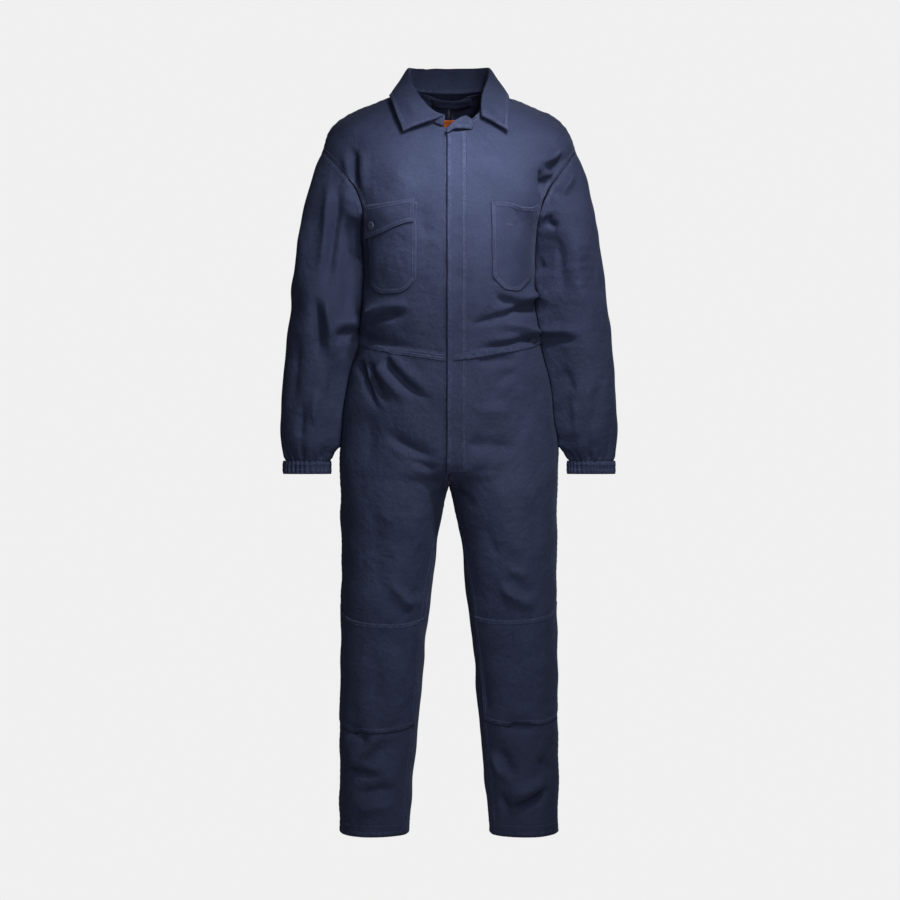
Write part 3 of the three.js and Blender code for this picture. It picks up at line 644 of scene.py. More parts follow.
class Wiring:
    """Adds nodes to a tree and joins them."""

    def __init__(self, tree):
        self.tree = tree

    def node(self, kind, **values):
        made = self.tree.nodes.new(kind)
        for key, value in values.items():
            setattr(made, key, value)
        return made

    def feed(self, socket, source):
        if hasattr(source, "is_output"):
            self.tree.links.new(source, socket)
        else:
            socket.default_value = source

    def math(self, operation, a, b=0.0, clamp=False):
        made = self.node("ShaderNodeMath", operation=operation, use_clamp=clamp)
        self.feed(made.inputs[0], a)
        self.feed(made.inputs[1], b)
        return made.outputs[0]

    def span(self, value, low, high, to_low=0.0, to_high=1.0, smooth=True):
        made = self.node("ShaderNodeMapRange", interpolation_type="SMOOTHSTEP" if smooth else "LINEAR")
        names = ("Value", "From Min", "From Max", "To Min", "To Max")
        for name, source in zip(names, (value, low, high, to_low, to_high)):
            self.feed(made.inputs[name], source)
        return made.outputs[0]

    def noise(self, vector, scale, detail=3.0, roughness=0.5):
        made = self.node("ShaderNodeTexNoise")
        self.feed(made.inputs["Vector"], vector)
        for name, source in (("Scale", scale), ("Detail", detail), ("Roughness", roughness)):
            self.feed(made.inputs[name], source)
        return made.outputs["Fac"]

    def bump(self, height, strength, distance, normal=None):
        made = self.node("ShaderNodeBump")
        self.feed(made.inputs["Strength"], strength)
        self.feed(made.inputs["Distance"], distance)
        self.feed(made.inputs["Height"], height)
        if normal is not None:
            self.feed(made.inputs["Normal"], normal)
        return made.outputs[0]

    def mix_colour(self, factor, a, b, blend="MIX"):
        made = self.node("ShaderNodeMix", data_type="RGBA", blend_type=blend)
        self.feed(made.inputs[0], factor)
        self.feed(made.inputs[6], a)
        self.feed(made.inputs[7], b)
        return made.outputs[2]


def twill_group():
    """Slanting ribs of a twill weave, with uneven yarns, on a chart in metres."""
    group = group_of(
        "Twill weave",
        [("Chart", "NodeSocketVector", None), ("Ribs", "NodeSocketFloat", 900.0), ("Slub", "NodeSocketFloat", 0.5)],
        [("Height", "NodeSocketFloat"), ("Tone", "NodeSocketFloat")],
    )
    w = Wiring(group)
    source = w.node("NodeGroupInput")
    split = w.node("ShaderNodeSeparateXYZ")
    w.feed(split.inputs[0], source.outputs["Chart"])
    u, v = split.outputs[0], split.outputs[1]
    slant = w.math("ADD", w.math("MULTIPLY", u, 1.0), w.math("MULTIPLY", v, 0.62))
    wander = w.math("MULTIPLY", w.noise(source.outputs["Chart"], 90.0, 2.0), 0.0016)
    phase = w.math("MULTIPLY", w.math("ADD", slant, wander), source.outputs["Ribs"])
    rib = w.math("ABSOLUTE", w.math("SINE", w.math("MULTIPLY", phase, math.pi)))
    weft = w.math("SINE", w.math("MULTIPLY", v, 5200.0))
    stretched = w.node("ShaderNodeCombineXYZ")
    w.feed(stretched.inputs[0], w.math("MULTIPLY", u, 2600.0))
    w.feed(stretched.inputs[1], w.math("MULTIPLY", v, 240.0))
    yarn = w.noise(stretched.outputs[0], 1.0, 2.0)
    uneven = w.math("MULTIPLY", w.math("SUBTRACT", yarn, 0.5), source.outputs["Slub"])
    height = w.math("ADD", w.math("ADD", rib, w.math("MULTIPLY", weft, 0.12)), uneven)
    sink = w.node("NodeGroupOutput")
    w.feed(sink.inputs["Height"], height)
    w.feed(sink.inputs["Tone"], w.math("ADD", w.math("MULTIPLY", rib, 0.6), uneven))
    return group


def wear_and_highlight_group():
    """Where the nap is paled by rubbing, in soft clouds over the cloth; and painted highlights, partly with rubbing,
    on the raised bands along its seams and in a line at its edges.
    """
    group = group_of(
        "Wear and painted highlight",
        [("Place", "NodeSocketVector", None), ("Edge Distance", "NodeSocketFloat", 20.0)],
        [
            ("Mask", "NodeSocketFloat"),
            ("Mottle", "NodeSocketFloat"),
            ("Seam Height", "NodeSocketFloat"),
            ("Crumple", "NodeSocketFloat"),
        ],
    )
    w = Wiring(group)
    source = w.node("NodeGroupInput")
    place, edge = source.outputs["Place"], source.outputs["Edge Distance"]
    clouds = w.span(w.noise(place, 11.0, 6.0, 0.62), 0.40, 0.70)
    grain = w.span(w.noise(place, 420.0, 3.0, 0.6), 0.35, 0.7)
    ridge = w.math("MULTIPLY", w.span(edge, 0.6, 2.2), w.span(edge, 10.5, 8.2))
    # Painted highlight, partly with rubbing: the raised band beside each seam is made paler, in uneven patches.
    rubbed_and_highlit = w.math("MULTIPLY", ridge, w.span(w.noise(place, 130.0, 3.0, 0.6), 0.40, 0.66))
    # Painted highlight: a pale line along the very edge of the cloth; the same line also dents the seam bump.
    edge_line = w.span(edge, 1.1, 0.2)
    mask = w.math("ADD", w.math("MULTIPLY", clouds, 0.34), w.math("MULTIPLY", rubbed_and_highlit, 0.55), clamp=True)
    mask = w.math("ADD", mask, w.math("MULTIPLY", edge_line, 0.50), clamp=True)
    sink = w.node("NodeGroupOutput")
    slow = w.noise(place, 19.0, 4.0, 0.5)
    creased = w.math("ABSOLUTE", w.math("SUBTRACT", w.noise(place, 34.0, 3.0, 0.5), 0.5))
    w.feed(sink.inputs["Crumple"], w.math("SUBTRACT", slow, w.math("MULTIPLY", creased, 0.8)))
    w.feed(sink.inputs["Mask"], mask)
    w.feed(sink.inputs["Mottle"], grain)
    w.feed(sink.inputs["Seam Height"], w.math("SUBTRACT", ridge, w.math("MULTIPLY", edge_line, 1.2)))
    return group


def group_node(w, group):
    made = w.node("ShaderNodeGroup")
    made.node_tree = group
    return made


def new_material(name):
    material = bpy.data.materials.new(name)
    material.use_nodes = True
    return material, Wiring(material.node_tree), material.node_tree.nodes["Principled BSDF"]


def shared_group(name, make):
    return bpy.data.node_groups.get(name) or make()


def cloth_material(name, base, worn_and_highlit, ribs=900.0, sheen=0.10):
    """Napped cotton twill. Ribs is the number of slanting ribs in a metre."""
    known = bpy.data.materials.get(name)
    if known:
        return known
    material, w, shader = new_material(name)
    place = w.node("ShaderNodeTexCoord").outputs["Object"]
    charted = w.node("ShaderNodeUVMap", uv_map="cloth").outputs["UV"]
    edge = w.node("ShaderNodeAttribute", attribute_name="edge_distance").outputs["Fac"]
    twill = group_node(w, shared_group("Twill weave", twill_group))
    w.feed(twill.inputs["Chart"], charted)
    w.feed(twill.inputs["Ribs"], ribs)
    wear_and_highlight = group_node(w, shared_group("Wear and painted highlight", wear_and_highlight_group))
    w.feed(wear_and_highlight.inputs["Place"], place)
    w.feed(wear_and_highlight.inputs["Edge Distance"], edge)
    # Painted highlight, with rubbing: the paler colour goes on the seam bands and edges, and in soft clouds where the
    # nap is paled.
    blended = w.mix_colour(wear_and_highlight.outputs["Mask"], (*base, 1.0), (*worn_and_highlit, 1.0))
    woven = w.math("MULTIPLY", twill.outputs["Tone"], 0.22)
    tone = w.math("ADD", woven, w.math("MULTIPLY", wear_and_highlight.outputs["Mottle"], 0.26))
    shade = w.node("ShaderNodeCombineColor")
    level = w.math("ADD", tone, 0.80)
    for i in range(3):
        w.feed(shade.inputs[i], level)
    w.feed(shader.inputs["Base Color"], w.mix_colour(1.0, blended, shade.outputs[0], "MULTIPLY"))
    w.feed(shader.inputs["Roughness"], w.span(wear_and_highlight.outputs["Mask"], 0.0, 1.0, 0.82, 0.70))
    weave = w.bump(twill.outputs["Height"], 0.30, 0.4 * MM)
    seam = w.bump(wear_and_highlight.outputs["Seam Height"], 0.75, 0.9 * MM, weave)
    crumple = w.bump(wear_and_highlight.outputs["Crumple"], 0.55, 11 * MM, seam)
    w.feed(shader.inputs["Normal"], crumple)
    shader.inputs["Sheen Weight"].default_value = sheen
    shader.inputs["Sheen Roughness"].default_value = 0.42
    shader.inputs["Sheen Tint"].default_value = (0.55, 0.66, 1.0, 1.0)
    shader.inputs["Specular IOR Level"].default_value = 0.35
    return material


def navy_twill():
    colours = settings().colours
    return cloth_material("napped_twill", colours.navy, colours.worn_and_highlit)


def thread_material():
    known = bpy.data.materials.get("sewing_thread")
    if known:
        return known
    material, w, shader = new_material("sewing_thread")
    place = w.node("ShaderNodeTexCoord").outputs["Object"]
    colour = settings().colours.thread
    ply = w.noise(place, 900.0, 2.0)
    dark = tuple(c * 0.7 for c in colour)
    w.feed(shader.inputs["Base Color"], w.mix_colour(ply, (*dark, 1.0), (*colour, 1.0)))
    w.feed(shader.inputs["Roughness"], w.span(ply, 0.3, 0.7, 0.45, 0.62))
    shader.inputs["Sheen Weight"].default_value = 0.2
    return material


# The pieces


def made(name):
    return bpy.data.objects[name]


def cloth_name(node):
    return node + "_cloth"


def side_of(node):
    return SIDES["left"] if node.endswith("left") else SIDES["right"]


LEG_AXIS = 0.13


class SUIT_OT_panels(bpy.types.Operator):
    """Makes the two fronts, the back and the four leg panels, folded"""

    bl_idname = "suit.panels"
    bl_label = "Body and leg panels"

    def execute(self, context):
        for node in BODY_PANELS + LEG_PANELS:
            piece = fine_cloth(cloth_name(node), skin_of(node))
            remember_plain(piece)
            wrinkle(piece, BODY_FOLDS)
        return {"FINISHED"}


GATHERS = table("count phase share reach", [(13, 0.3, 1.0, 24), (21, 1.7, 0.7, 14), (8, 4.1, 0.8, 40)])
GATHER_DEPTH = 2.6 * MM
GATHER_START = 7
ARMHOLE_FADE = 34 * MM


TUCK = {"reach": 9 * MM, "down": 3.2 * MM, "in": 0.07}


def tuck_into(piece, centre, level):
    """Draws a sleeve's lower end down and in, so that it ends inside its cuff."""
    mesh = piece.data
    points = points_of(mesh)
    from_end = distance_to_edge(mesh, lambda spots: spots[:, 2] < level + TUCK["reach"])
    share = ease(1 - from_end / TUCK["reach"])
    points[:, 2] -= TUCK["down"] * share
    middle = np.array([centre.x, centre.y])
    points[:, :2] += (middle - points[:, :2]) * (TUCK["in"] * share)[:, None]
    set_points(mesh, points)


PRESS = {"near": 22, "far": 38, "clear": 1.6, "low": 770, "high": 1236, "fade": 16}


def press_on(piece, surface):
    """Draws the inner side of a sleeve against the body, as an empty sleeve hangs."""
    mesh = piece.data
    points = points_of(mesh)
    height = (points[:, 2] - HEM) / MM
    window = ease((height - PRESS["low"]) / PRESS["fade"]) * ease((PRESS["high"] - height) / PRESS["fade"])
    for i in np.nonzero(window)[0]:
        place, normal, _, gap = surface.find_nearest(points[i])
        if gap > PRESS["far"] * MM:
            continue
        out = normal.dot(Vector(points[i]) - place)
        share = ease((PRESS["far"] - gap / MM) / (PRESS["far"] - PRESS["near"])) * window[i]
        wanted = np.array(place + normal * PRESS["clear"] * MM)
        if out > PRESS["clear"] * MM or out < 0:
            points[i] += (wanted - points[i]) * (share if out > 0 else 1.0)
    set_points(mesh, points)


class SUIT_OT_sleeves(bpy.types.Operator):
    """Makes the sleeves, with folds down their length and gathers above the cuffs"""

    bl_idname = "suit.sleeves"
    bl_label = "Sleeves"

    def execute(self, context):
        for node in SLEEVES:
            piece = fine_cloth(cloth_name(node), skin_of(node))
            remember_plain(piece)
            low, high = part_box("cuff_" + node.split("_")[1])
            centre = (low + high) / 2
            armhole_low = HEM + 1.1

            def extra(points, centre=centre, mesh=piece.data):
                normals = normals_of(mesh)
                from_armhole = distance_to_edge(mesh, lambda p: p[:, 2] > armhole_low)
                settled = ease(from_armhole / ARMHOLE_FADE)
                rise = folds_on(points, normals, SLEEVE_FOLDS) * settled
                turn = np.arctan2(points[:, 1] - centre.y, points[:, 0] - centre.x)
                above = (points[:, 2] - high.z) / MM
                for gather in GATHERS:
                    wave = np.cos(gather["count"] * turn + gather["phase"] + 0.7 * np.sin(2 * turn))
                    reach = gather["reach"] * (1 + 0.35 * np.sin(3 * turn + gather["phase"]))
                    fade = np.exp(-np.clip(above, 0, None) / reach) * ease(above / GATHER_START)
                    rise = rise + GATHER_DEPTH * gather["share"] * wave * fade
                return rise

            wrinkle(piece, BODY_FOLDS, extra)
            tuck_into(piece, centre, high.z)
        close_seams([made(cloth_name(node)) for node in PANELS])
        surface = panel_surface()
        for node in SLEEVES:
            press_on(made(cloth_name(node)), surface)
        for node in PANELS:
            piece = made(cloth_name(node))
            piece.data.attributes.remove(piece.data.attributes["plain"])
            if node in SLEEVES:
                chart(piece, centre=(side_of(node) * 0.25, 0.0), radius=0.062)
            elif node in LEG_PANELS:
                chart(piece, centre=(side_of(node) * LEG_AXIS, 0.0), radius=0.095)
            else:
                chart(piece)
            finish_cloth(piece, node, navy_twill())
        return {"FINISHED"}


CUFF_RIBS = 29
CUFF_RIB_DEPTH = 1.6 * MM
CUFF_PUFF = 1.3 * MM
CUFF_LEVELS = 4


class SUIT_OT_cuffs(bpy.types.Operator):
    """Makes the narrow elastic cuffs, gathered into ribs"""

    bl_idname = "suit.cuffs"
    bl_label = "Cuffs"

    def execute(self, context):
        colours = settings().colours
        for side in SIDES:
            node = "cuff_" + side
            piece = fine_cloth(cloth_name(node), skin_of(node), CUFF_LEVELS)
            mesh = piece.data
            points, normals = points_of(mesh), normals_of(mesh)
            low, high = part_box(node)
            centre = (low + high) / 2
            turn = np.arctan2((points[:, 1] - centre.y) * 1.5, points[:, 0] - centre.x)
            up = (points[:, 2] - low.z) / (high.z - low.z)
            uneven = 0.9 * np.sin(3 * turn + 1.0) + 0.6 * np.sin(7 * turn)
            ribs = np.cos(CUFF_RIBS * turn + uneven + 0.5 * np.sin(math.pi * up))
            rows = np.cos(2 * math.pi * up * 2)
            rise = CUFF_RIB_DEPTH * ribs + CUFF_PUFF * np.sin(math.pi * np.clip(up, 0, 1)) - 0.3 * MM * rows
            set_points(mesh, points + normals * rise[:, None])
            chart(piece, centre=(centre.x, centre.y), radius=0.04)
            material = cloth_material("gathered_twill", colours.navy, colours.worn_and_highlit, ribs=1100.0, sheen=0.12)
            finish_cloth(piece, node, material)
        return {"FINISHED"}


FOLD_GAP = 6 * MM
COLLAR_FOLDS = fold_table(
    front=[
        (-92, 1480, -60, 1424, 0, 10, 1.6), (96, 1476, 88, 1420, 0, 10, 1.4), (66, 1448, 112, 1404, 4, 8, -2.0),
        (-112, 1460, -100, 1404, 0, 8, -1.2),
    ],
    back=[
        (-60, 1530, 50, 1532, 0, 9, 1.2),
    ],
)


class SUIT_OT_collar(bpy.types.Operator):
    """Makes the turned-down collar as one sheet, up the neck side, over the fold and down the leaf"""

    bl_idname = "suit.collar"
    bl_label = "Collar"

    def execute(self, context):
        bm = skin_of("collar_leaf")
        stand = skin_of("collar_stand", outer=False)
        spare = bpy.data.meshes.new("stand")
        stand.to_mesh(spare)
        stand.free()
        leaf_verts = set(bm.verts)
        bm.from_mesh(spare)
        bpy.data.meshes.remove(spare)
        leaf_rim = [v for v in leaf_verts if v.is_boundary]
        stand_rim = [v for v in bm.verts if v not in leaf_verts and v.is_boundary]
        at_fold = set()
        for one, other in ((leaf_rim, stand_rim), (stand_rim, leaf_rim)):
            for v in one:
                if min((v.co - o.co).length for o in other) < FOLD_GAP:
                    at_fold.add(v)
        fold = [e for e in bm.edges if e.is_boundary and e.verts[0] in at_fold and e.verts[1] in at_fold]
        bmesh.ops.bridge_loops(bm, edges=fold)
        bmesh.ops.recalc_face_normals(bm, faces=bm.faces[:])
        leaf_faces = [f for f in bm.faces if all(v in leaf_verts for v in f.verts)]
        back = max(leaf_faces, key=lambda f: f.calc_center_median().y)
        if back.normal.y < 0:
            bmesh.ops.reverse_faces(bm, faces=bm.faces[:])
        piece = fine_cloth(cloth_name("collar"), bm)
        wrinkle(piece, COLLAR_FOLDS)
        chart(piece, radius=0.09)
        nodes = ["collar_leaf", "collar_stand"]
        finish_cloth(piece, nodes, navy_twill())
        return {"FINISHED"}


PLACKET_EDGE = 4.6 * MM
PLACKET_FLUSH = 0.7 * MM
BAND_LIFT = 0.7 * MM
PATCH_LIFT = 1.5 * MM
TRIM_THICKNESS = 1.0 * MM


def panel_surface():
    return surface_of([made(cloth_name(node)) for node in PANELS if node not in SLEEVES])


class SUIT_OT_trim(bpy.types.Operator):
    """Lays the placket, the waist bands and the knee patches on the panels"""

    bl_idname = "suit.trim"
    bl_label = "Placket, waist bands and knee patches"

    def execute(self, context):
        surface = panel_surface()
        low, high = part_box("placket")

        def placket_lift(points):
            across = (points[:, 0] - low.x) / (high.x - low.x)
            height = (points[:, 2] - HEM) / MM
            ripple = 0.35 * MM * np.sin(height / 6.1 + 1.5 * np.sin(height / 31)) * ease(across * 1.4)
            return PLACKET_FLUSH + (PLACKET_EDGE - PLACKET_FLUSH) * (1 - ease(across * 1.9)) + ripple

        piece = laid("placket", surface, placket_lift)
        chart(piece, flat=True)
        finish_cloth(piece, "placket", navy_twill(), TRIM_THICKNESS)
        for name in ("left", "right", "back"):
            node = "waist_band_" + name
            piece = laid(node, surface, BAND_LIFT)
            chart(piece)
            finish_cloth(piece, node, navy_twill(), TRIM_THICKNESS)
        for side in SIDES:
            node = "knee_patch_" + side
            piece = laid(node, surface, PATCH_LIFT)
            chart(piece, centre=(SIDES[side] * LEG_AXIS, 0.0), radius=0.095)
            finish_cloth(piece, node, navy_twill(), TRIM_THICKNESS)
        return {"FINISHED"}


POCKET_LIFT = 1.7 * MM
POCKET_BULGE = 3.2 * MM
MOUTH = {"start": 0.34, "widen": 0.30, "close": 0.2, "depth": 13 * MM, "sag": 9 * MM, "fall": 3.2}
MOUTH_HEM = {"height": 12 * MM, "rise": 0.7 * MM}
FLAP_LIFT = {"top": 4.4 * MM, "edge": 6.2 * MM}


def shares(points, node):
    low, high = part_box(node)
    across = (points[:, 0] - low.x) / (high.x - low.x)
    up = (points[:, 2] - low.z) / (high.z - low.z)
    return np.clip(across, 0, 1), np.clip(up, 0, 1)


def pocket_lift(node, open_mouth):
    def lift(points):
        across, up = shares(points, node)
        middle = np.sin(math.pi * across) * np.sin(math.pi * np.clip(up * 0.85 + 0.05, 0, 1))
        lifts = POCKET_LIFT + POCKET_BULGE * middle
        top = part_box(node)[1].z
        lifts = lifts + MOUTH_HEM["rise"] * ease((points[:, 2] - top + MOUTH_HEM["height"]) / (1.5 * MM))
        if open_mouth:
            lifts = lifts + MOUTH["depth"] * gape_of(across, up)
        return lifts

    return lift


def gape_of(across, up):
    opening = ease((across - MOUTH["start"]) / MOUTH["widen"]) * ease((1 - across) / MOUTH["close"])
    return opening * up ** MOUTH["fall"]


def sag_mouth(piece, node):
    """Lets the open part of a pocket's mouth drop, so that its inside shows above it."""
    points = points_of(piece.data)
    points[:, 2] -= MOUTH["sag"] * gape_of(*shares(points, node))
    set_points(piece.data, points)


class SUIT_OT_pockets(bpy.types.Operator):
    """Lays the two chest pockets and the flap on the fronts"""

    bl_idname = "suit.pockets"
    bl_label = "Chest pockets"

    def execute(self, context):
        surface = panel_surface()
        for side in SIDES:
            node = "pocket_" + side
            piece = laid(node, surface, pocket_lift(node, side == "left"))
            if side == "left":
                sag_mouth(piece, node)
            chart(piece, flat=True)
            finish_cloth(piece, node, navy_twill(), TRIM_THICKNESS)

        def flap_lift(points):
            _, up = shares(points, "pocket_flap")
            return FLAP_LIFT["top"] * ease(1.6 - up) + FLAP_LIFT["edge"] * ease((1 - up) * 1.2) * 0.35

        piece = laid("pocket_flap", surface, flap_lift)
        chart(piece, flat=True)
        finish_cloth(piece, "pocket_flap", navy_twill(), TRIM_THICKNESS)
        return {"FINISHED"}


LOOP_SAG = 5 * MM


# The tab's outline: it reaches past the placket's edge, and its top climbs to a peak near its outer end.
TAB = {"reach": 6 * MM, "narrow": 4 * MM, "peak": 0.72, "dip": 7 * MM, "droop": 9 * MM, "curl": 1.5 * MM}


def shape_tab(tab):
    points = points_of(tab.data)
    across, up = shares(points, "neck_tab")
    points[:, 0] -= TAB["reach"] * (1 - across) + TAB["narrow"] * across
    past_peak = ease((across - TAB["peak"]) / (1 - TAB["peak"]))
    points[:, 2] -= TAB["dip"] * past_peak * up + TAB["droop"] * ease(1 - across / 0.35) * (1 - up)
    points[:, 1] -= TAB["curl"] * (1 - up)
    set_points(tab.data, points)


class SUIT_OT_neck(bpy.types.Operator):
    """Makes the neck tab, the hanger loop and the bare label inside the back of the neck"""

    bl_idname = "suit.neck"
    bl_label = "Neck tab, loop and label"

    def execute(self, context):
        colours = settings().colours
        forward = Vector((0, -1, 0))
        tab = fine_cloth(cloth_name("neck_tab"), skin_of("neck_tab", facing=forward))
        shape_tab(tab)
        chart(tab, flat=True)
        finish_cloth(tab, "neck_tab", navy_twill(), 1.4 * MM)
        loop = fine_cloth(cloth_name("hanger_loop"), skin_of("hanger_loop", facing=forward))
        points = points_of(loop.data)
        across, _ = shares(points, "hanger_loop")
        points[:, 2] -= LOOP_SAG * np.sin(math.pi * across)
        points[:, 1] -= 2 * MM * np.sin(math.pi * across)
        set_points(loop.data, points)
        chart(loop, flat=True)
        tape = cloth_material("folded_tape", colours.tape, colours.navy, ribs=1400.0, sheen=0.08)
        finish_cloth(loop, "hanger_loop", tape, 0.9 * MM)
        label = fine_cloth(cloth_name("neck_label"), skin_of("neck_label", facing=forward))
        chart(label, flat=True)
        brighter = tuple(min(1.0, c * 1.15) for c in colours.label)
        bare = cloth_material("bare_label", colours.label, brighter, ribs=2000.0, sheen=0.1)
        finish_cloth(label, "neck_label", bare, 0.6 * MM)
        return {"FINISHED"}


def set_on(piece, cloth):
    """Moves a small piece out along -Y until it stands clear of the cloth behind it."""
    points, behind = points_of(piece.data), points_of(cloth.data)
    low, high = points.min(0), points.max(0)
    under = ((behind[:, [0, 2]] > low[[0, 2]]) & (behind[:, [0, 2]] < high[[0, 2]])).all(1)
    ahead = max(0.0, high[1] - behind[under][:, 1].min()) if under.any() else 0.0
    points[:, 1] -= ahead
    set_points(piece.data, points)


class SUIT_OT_button(bpy.types.Operator):
    """Makes the four-hole button on the flap"""

    bl_idname = "suit.button"
    bl_label = "Button"

    def execute(self, context):
        bm = bmesh.new()
        bm.from_mesh(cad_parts["button"].data)
        bmesh.ops.remove_doubles(bm, verts=bm.verts, dist=MERGE)
        bmesh.ops.dissolve_limit(bm, angle_limit=math.radians(2), verts=bm.verts[:], edges=bm.edges[:])
        sharp = [e for e in bm.edges if len(e.link_faces) == 2 and e.calc_face_angle() > math.radians(25)]
        bmesh.ops.bevel(bm, geom=sharp, offset=0.25 * MM, affect="EDGES", segments=2, profile=0.5, material=-1)
        mesh = bpy.data.meshes.new("button_disc")
        bm.to_mesh(mesh)
        bm.free()
        piece = object_of("button_disc", mesh)
        for polygon in mesh.polygons:
            polygon.use_smooth = True
        set_on(piece, made(cloth_name("pocket_flap")))
        material, w, shader = new_material("satin_button")
        place = w.node("ShaderNodeTexCoord").outputs["Object"]
        swirl = w.noise(place, 260.0, 3.0)
        colour = settings().colours.button
        pale = tuple(min(1.0, c * 1.7) for c in colour)
        w.feed(shader.inputs["Base Color"], w.mix_colour(swirl, (*colour, 1.0), (*pale, 1.0)))
        w.feed(shader.inputs["Roughness"], w.span(swirl, 0.2, 0.8, 0.32, 0.48))
        mesh.materials.append(material)
        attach(piece, "root")
        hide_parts("button")
        return {"FINISHED"}


# Stitching


def edge_loops(mesh):
    """The open edges of a mesh as ordered rows of vertex numbers."""
    links = {}
    for a, b in boundary_edges(mesh).tolist():
        links.setdefault(a, []).append(b)
        links.setdefault(b, []).append(a)
    loops = []
    while links:
        start = next(iter(links))
        path, here = [start], start
        while True:
            steps = links.get(here, [])
            if not steps:
                break
            following = steps.pop()
            links[following].remove(here)
            if not steps:
                del links[here]
            if following in links and not links[following]:
                del links[following]
            path.append(following)
            here = following
            if here == start:
                break
        loops.append(path)
    return loops


def resample(path, step):
    gaps = np.linalg.norm(np.diff(path, axis=0), axis=1)
    reach = np.concatenate([[0], np.cumsum(gaps)])
    count = int(reach[-1] / step)
    if count < 2:
        return path[:0]
    spots = np.linspace(0, reach[-1], count + 1)
    return np.column_stack([np.interp(spots, reach, path[:, k]) for k in range(3)])


CLEAR_SHARE = 0.93


def inset_rows(piece, inset, keep):
    """Rows of points that run inside a sheet's edge, at a set distance from it, along the part that keep picks."""
    mesh = piece.data
    co, normals = points_of(mesh), normals_of(mesh)
    edges = boundary_edges(mesh)
    rim = tree_of(np.concatenate([co[edges[:, 0]], (co[edges[:, 0]] + co[edges[:, 1]]) / 2]))
    inward = np.zeros_like(co)
    corner = np.empty(len(mesh.loops), int)
    mesh.loops.foreach_get("vertex_index", corner)
    quads = corner.reshape(-1, 4)
    centres = co[quads].mean(1)
    for k in range(4):
        np.add.at(inward, quads[:, k], centres - co[quads[:, k]])
    rows = []
    for loop in edge_loops(mesh):
        closed = loop[0] == loop[-1]
        index = np.array(loop)
        path = co[index]
        tangent = np.gradient(path, axis=0)
        if closed:
            tangent[0] = tangent[-1] = path[1] - path[-2]
        tangent /= np.linalg.norm(tangent, axis=1)[:, None] + 1e-12
        normal = normals[index]
        side = np.cross(normal, tangent)
        way = np.sign((side * inward[index]).sum(1))
        moved = path + side * way[:, None] * inset
        clear = [rim.find(p)[2] > inset * CLEAR_SHARE for p in moved]
        fine = np.array(clear) & keep(path)
        run = []
        for i, good in enumerate(fine):
            if good:
                run.append(moved[i])
            if run and (not good or i == len(fine) - 1):
                if len(run) > 2:
                    rows.append(np.array(run))
                run = []
    return rows


def sew(name, rows, surface):
    """Joins a stitch at every pitch along the rows into one piece, laid on the surface."""
    size = settings().stitch
    bm = bmesh.new()
    bmesh.ops.create_icosphere(bm, subdivisions=1, radius=0.5)
    stretch = Vector((size.length, size.thread, size.thread * 0.8))
    bmesh.ops.scale(bm, vec=stretch, verts=bm.verts)
    one = np.array([v.co for v in bm.verts])
    bm.verts.index_update()
    faces = np.array([[v.index for v in f.verts] for f in bm.faces])
    bm.free()
    vertices = []
    for row in rows:
        spots = resample(row, size.pitch)
        if len(spots) < 3:
            continue
        for a, b in zip(spots[:-1], spots[1:]):
            place, normal, _, _ = surface.find_nearest((a + b) / 2)
            along = Vector(b - a).normalized()
            across = normal.cross(along).normalized()
            up = along.cross(across)
            frame_of = np.array([along, across, up])
            vertices.append(one @ frame_of + np.array(place + normal * size.thread * 0.12))
    count = len(vertices)
    mesh = bpy.data.meshes.new(name)
    joined = np.concatenate(vertices)
    all_faces = (faces[None] + (np.arange(count) * len(one))[:, None, None]).reshape(-1, 3)
    mesh.vertices.add(len(joined))
    mesh.vertices.foreach_set("co", joined.ravel())
    mesh.loops.add(all_faces.size)
    mesh.loops.foreach_set("vertex_index", all_faces.ravel())
    mesh.polygons.add(len(all_faces))
    mesh.polygons.foreach_set("loop_start", np.arange(len(all_faces)) * 3)
    mesh.polygons.foreach_set("use_smooth", np.ones(len(all_faces), bool))
    mesh.update(calc_edges=True)
    mesh.validate()
    mesh.materials.append(thread_material())
    piece = object_of(name, mesh)
    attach(piece, "root")
    return piece


def everywhere(path):
    return np.ones(len(path), bool)


def height_of(path):
    return (path[:, 2] - HEM) / MM


# Heights between which seams are sewn, and how far from the centre they start or end.
ABOVE_HEM, BELOW_WAIST, ABOVE_BAND, ABOVE_WAIST = 40, 925, 1000, 1010
AT_CENTRE, OFF_PLACKET = 0.004, 0.03
PLACKET_ROWS = (0.004, 0.007)
COLLAR_ROWS = (0.0055,)
# A bar of stitches that closes part of the left pocket's mouth into a pen slot.
PEN_SLOT = {"x": (98, 107, 116), "heights": (1213.0, 1214.0, 1215.0, 1216.0)}


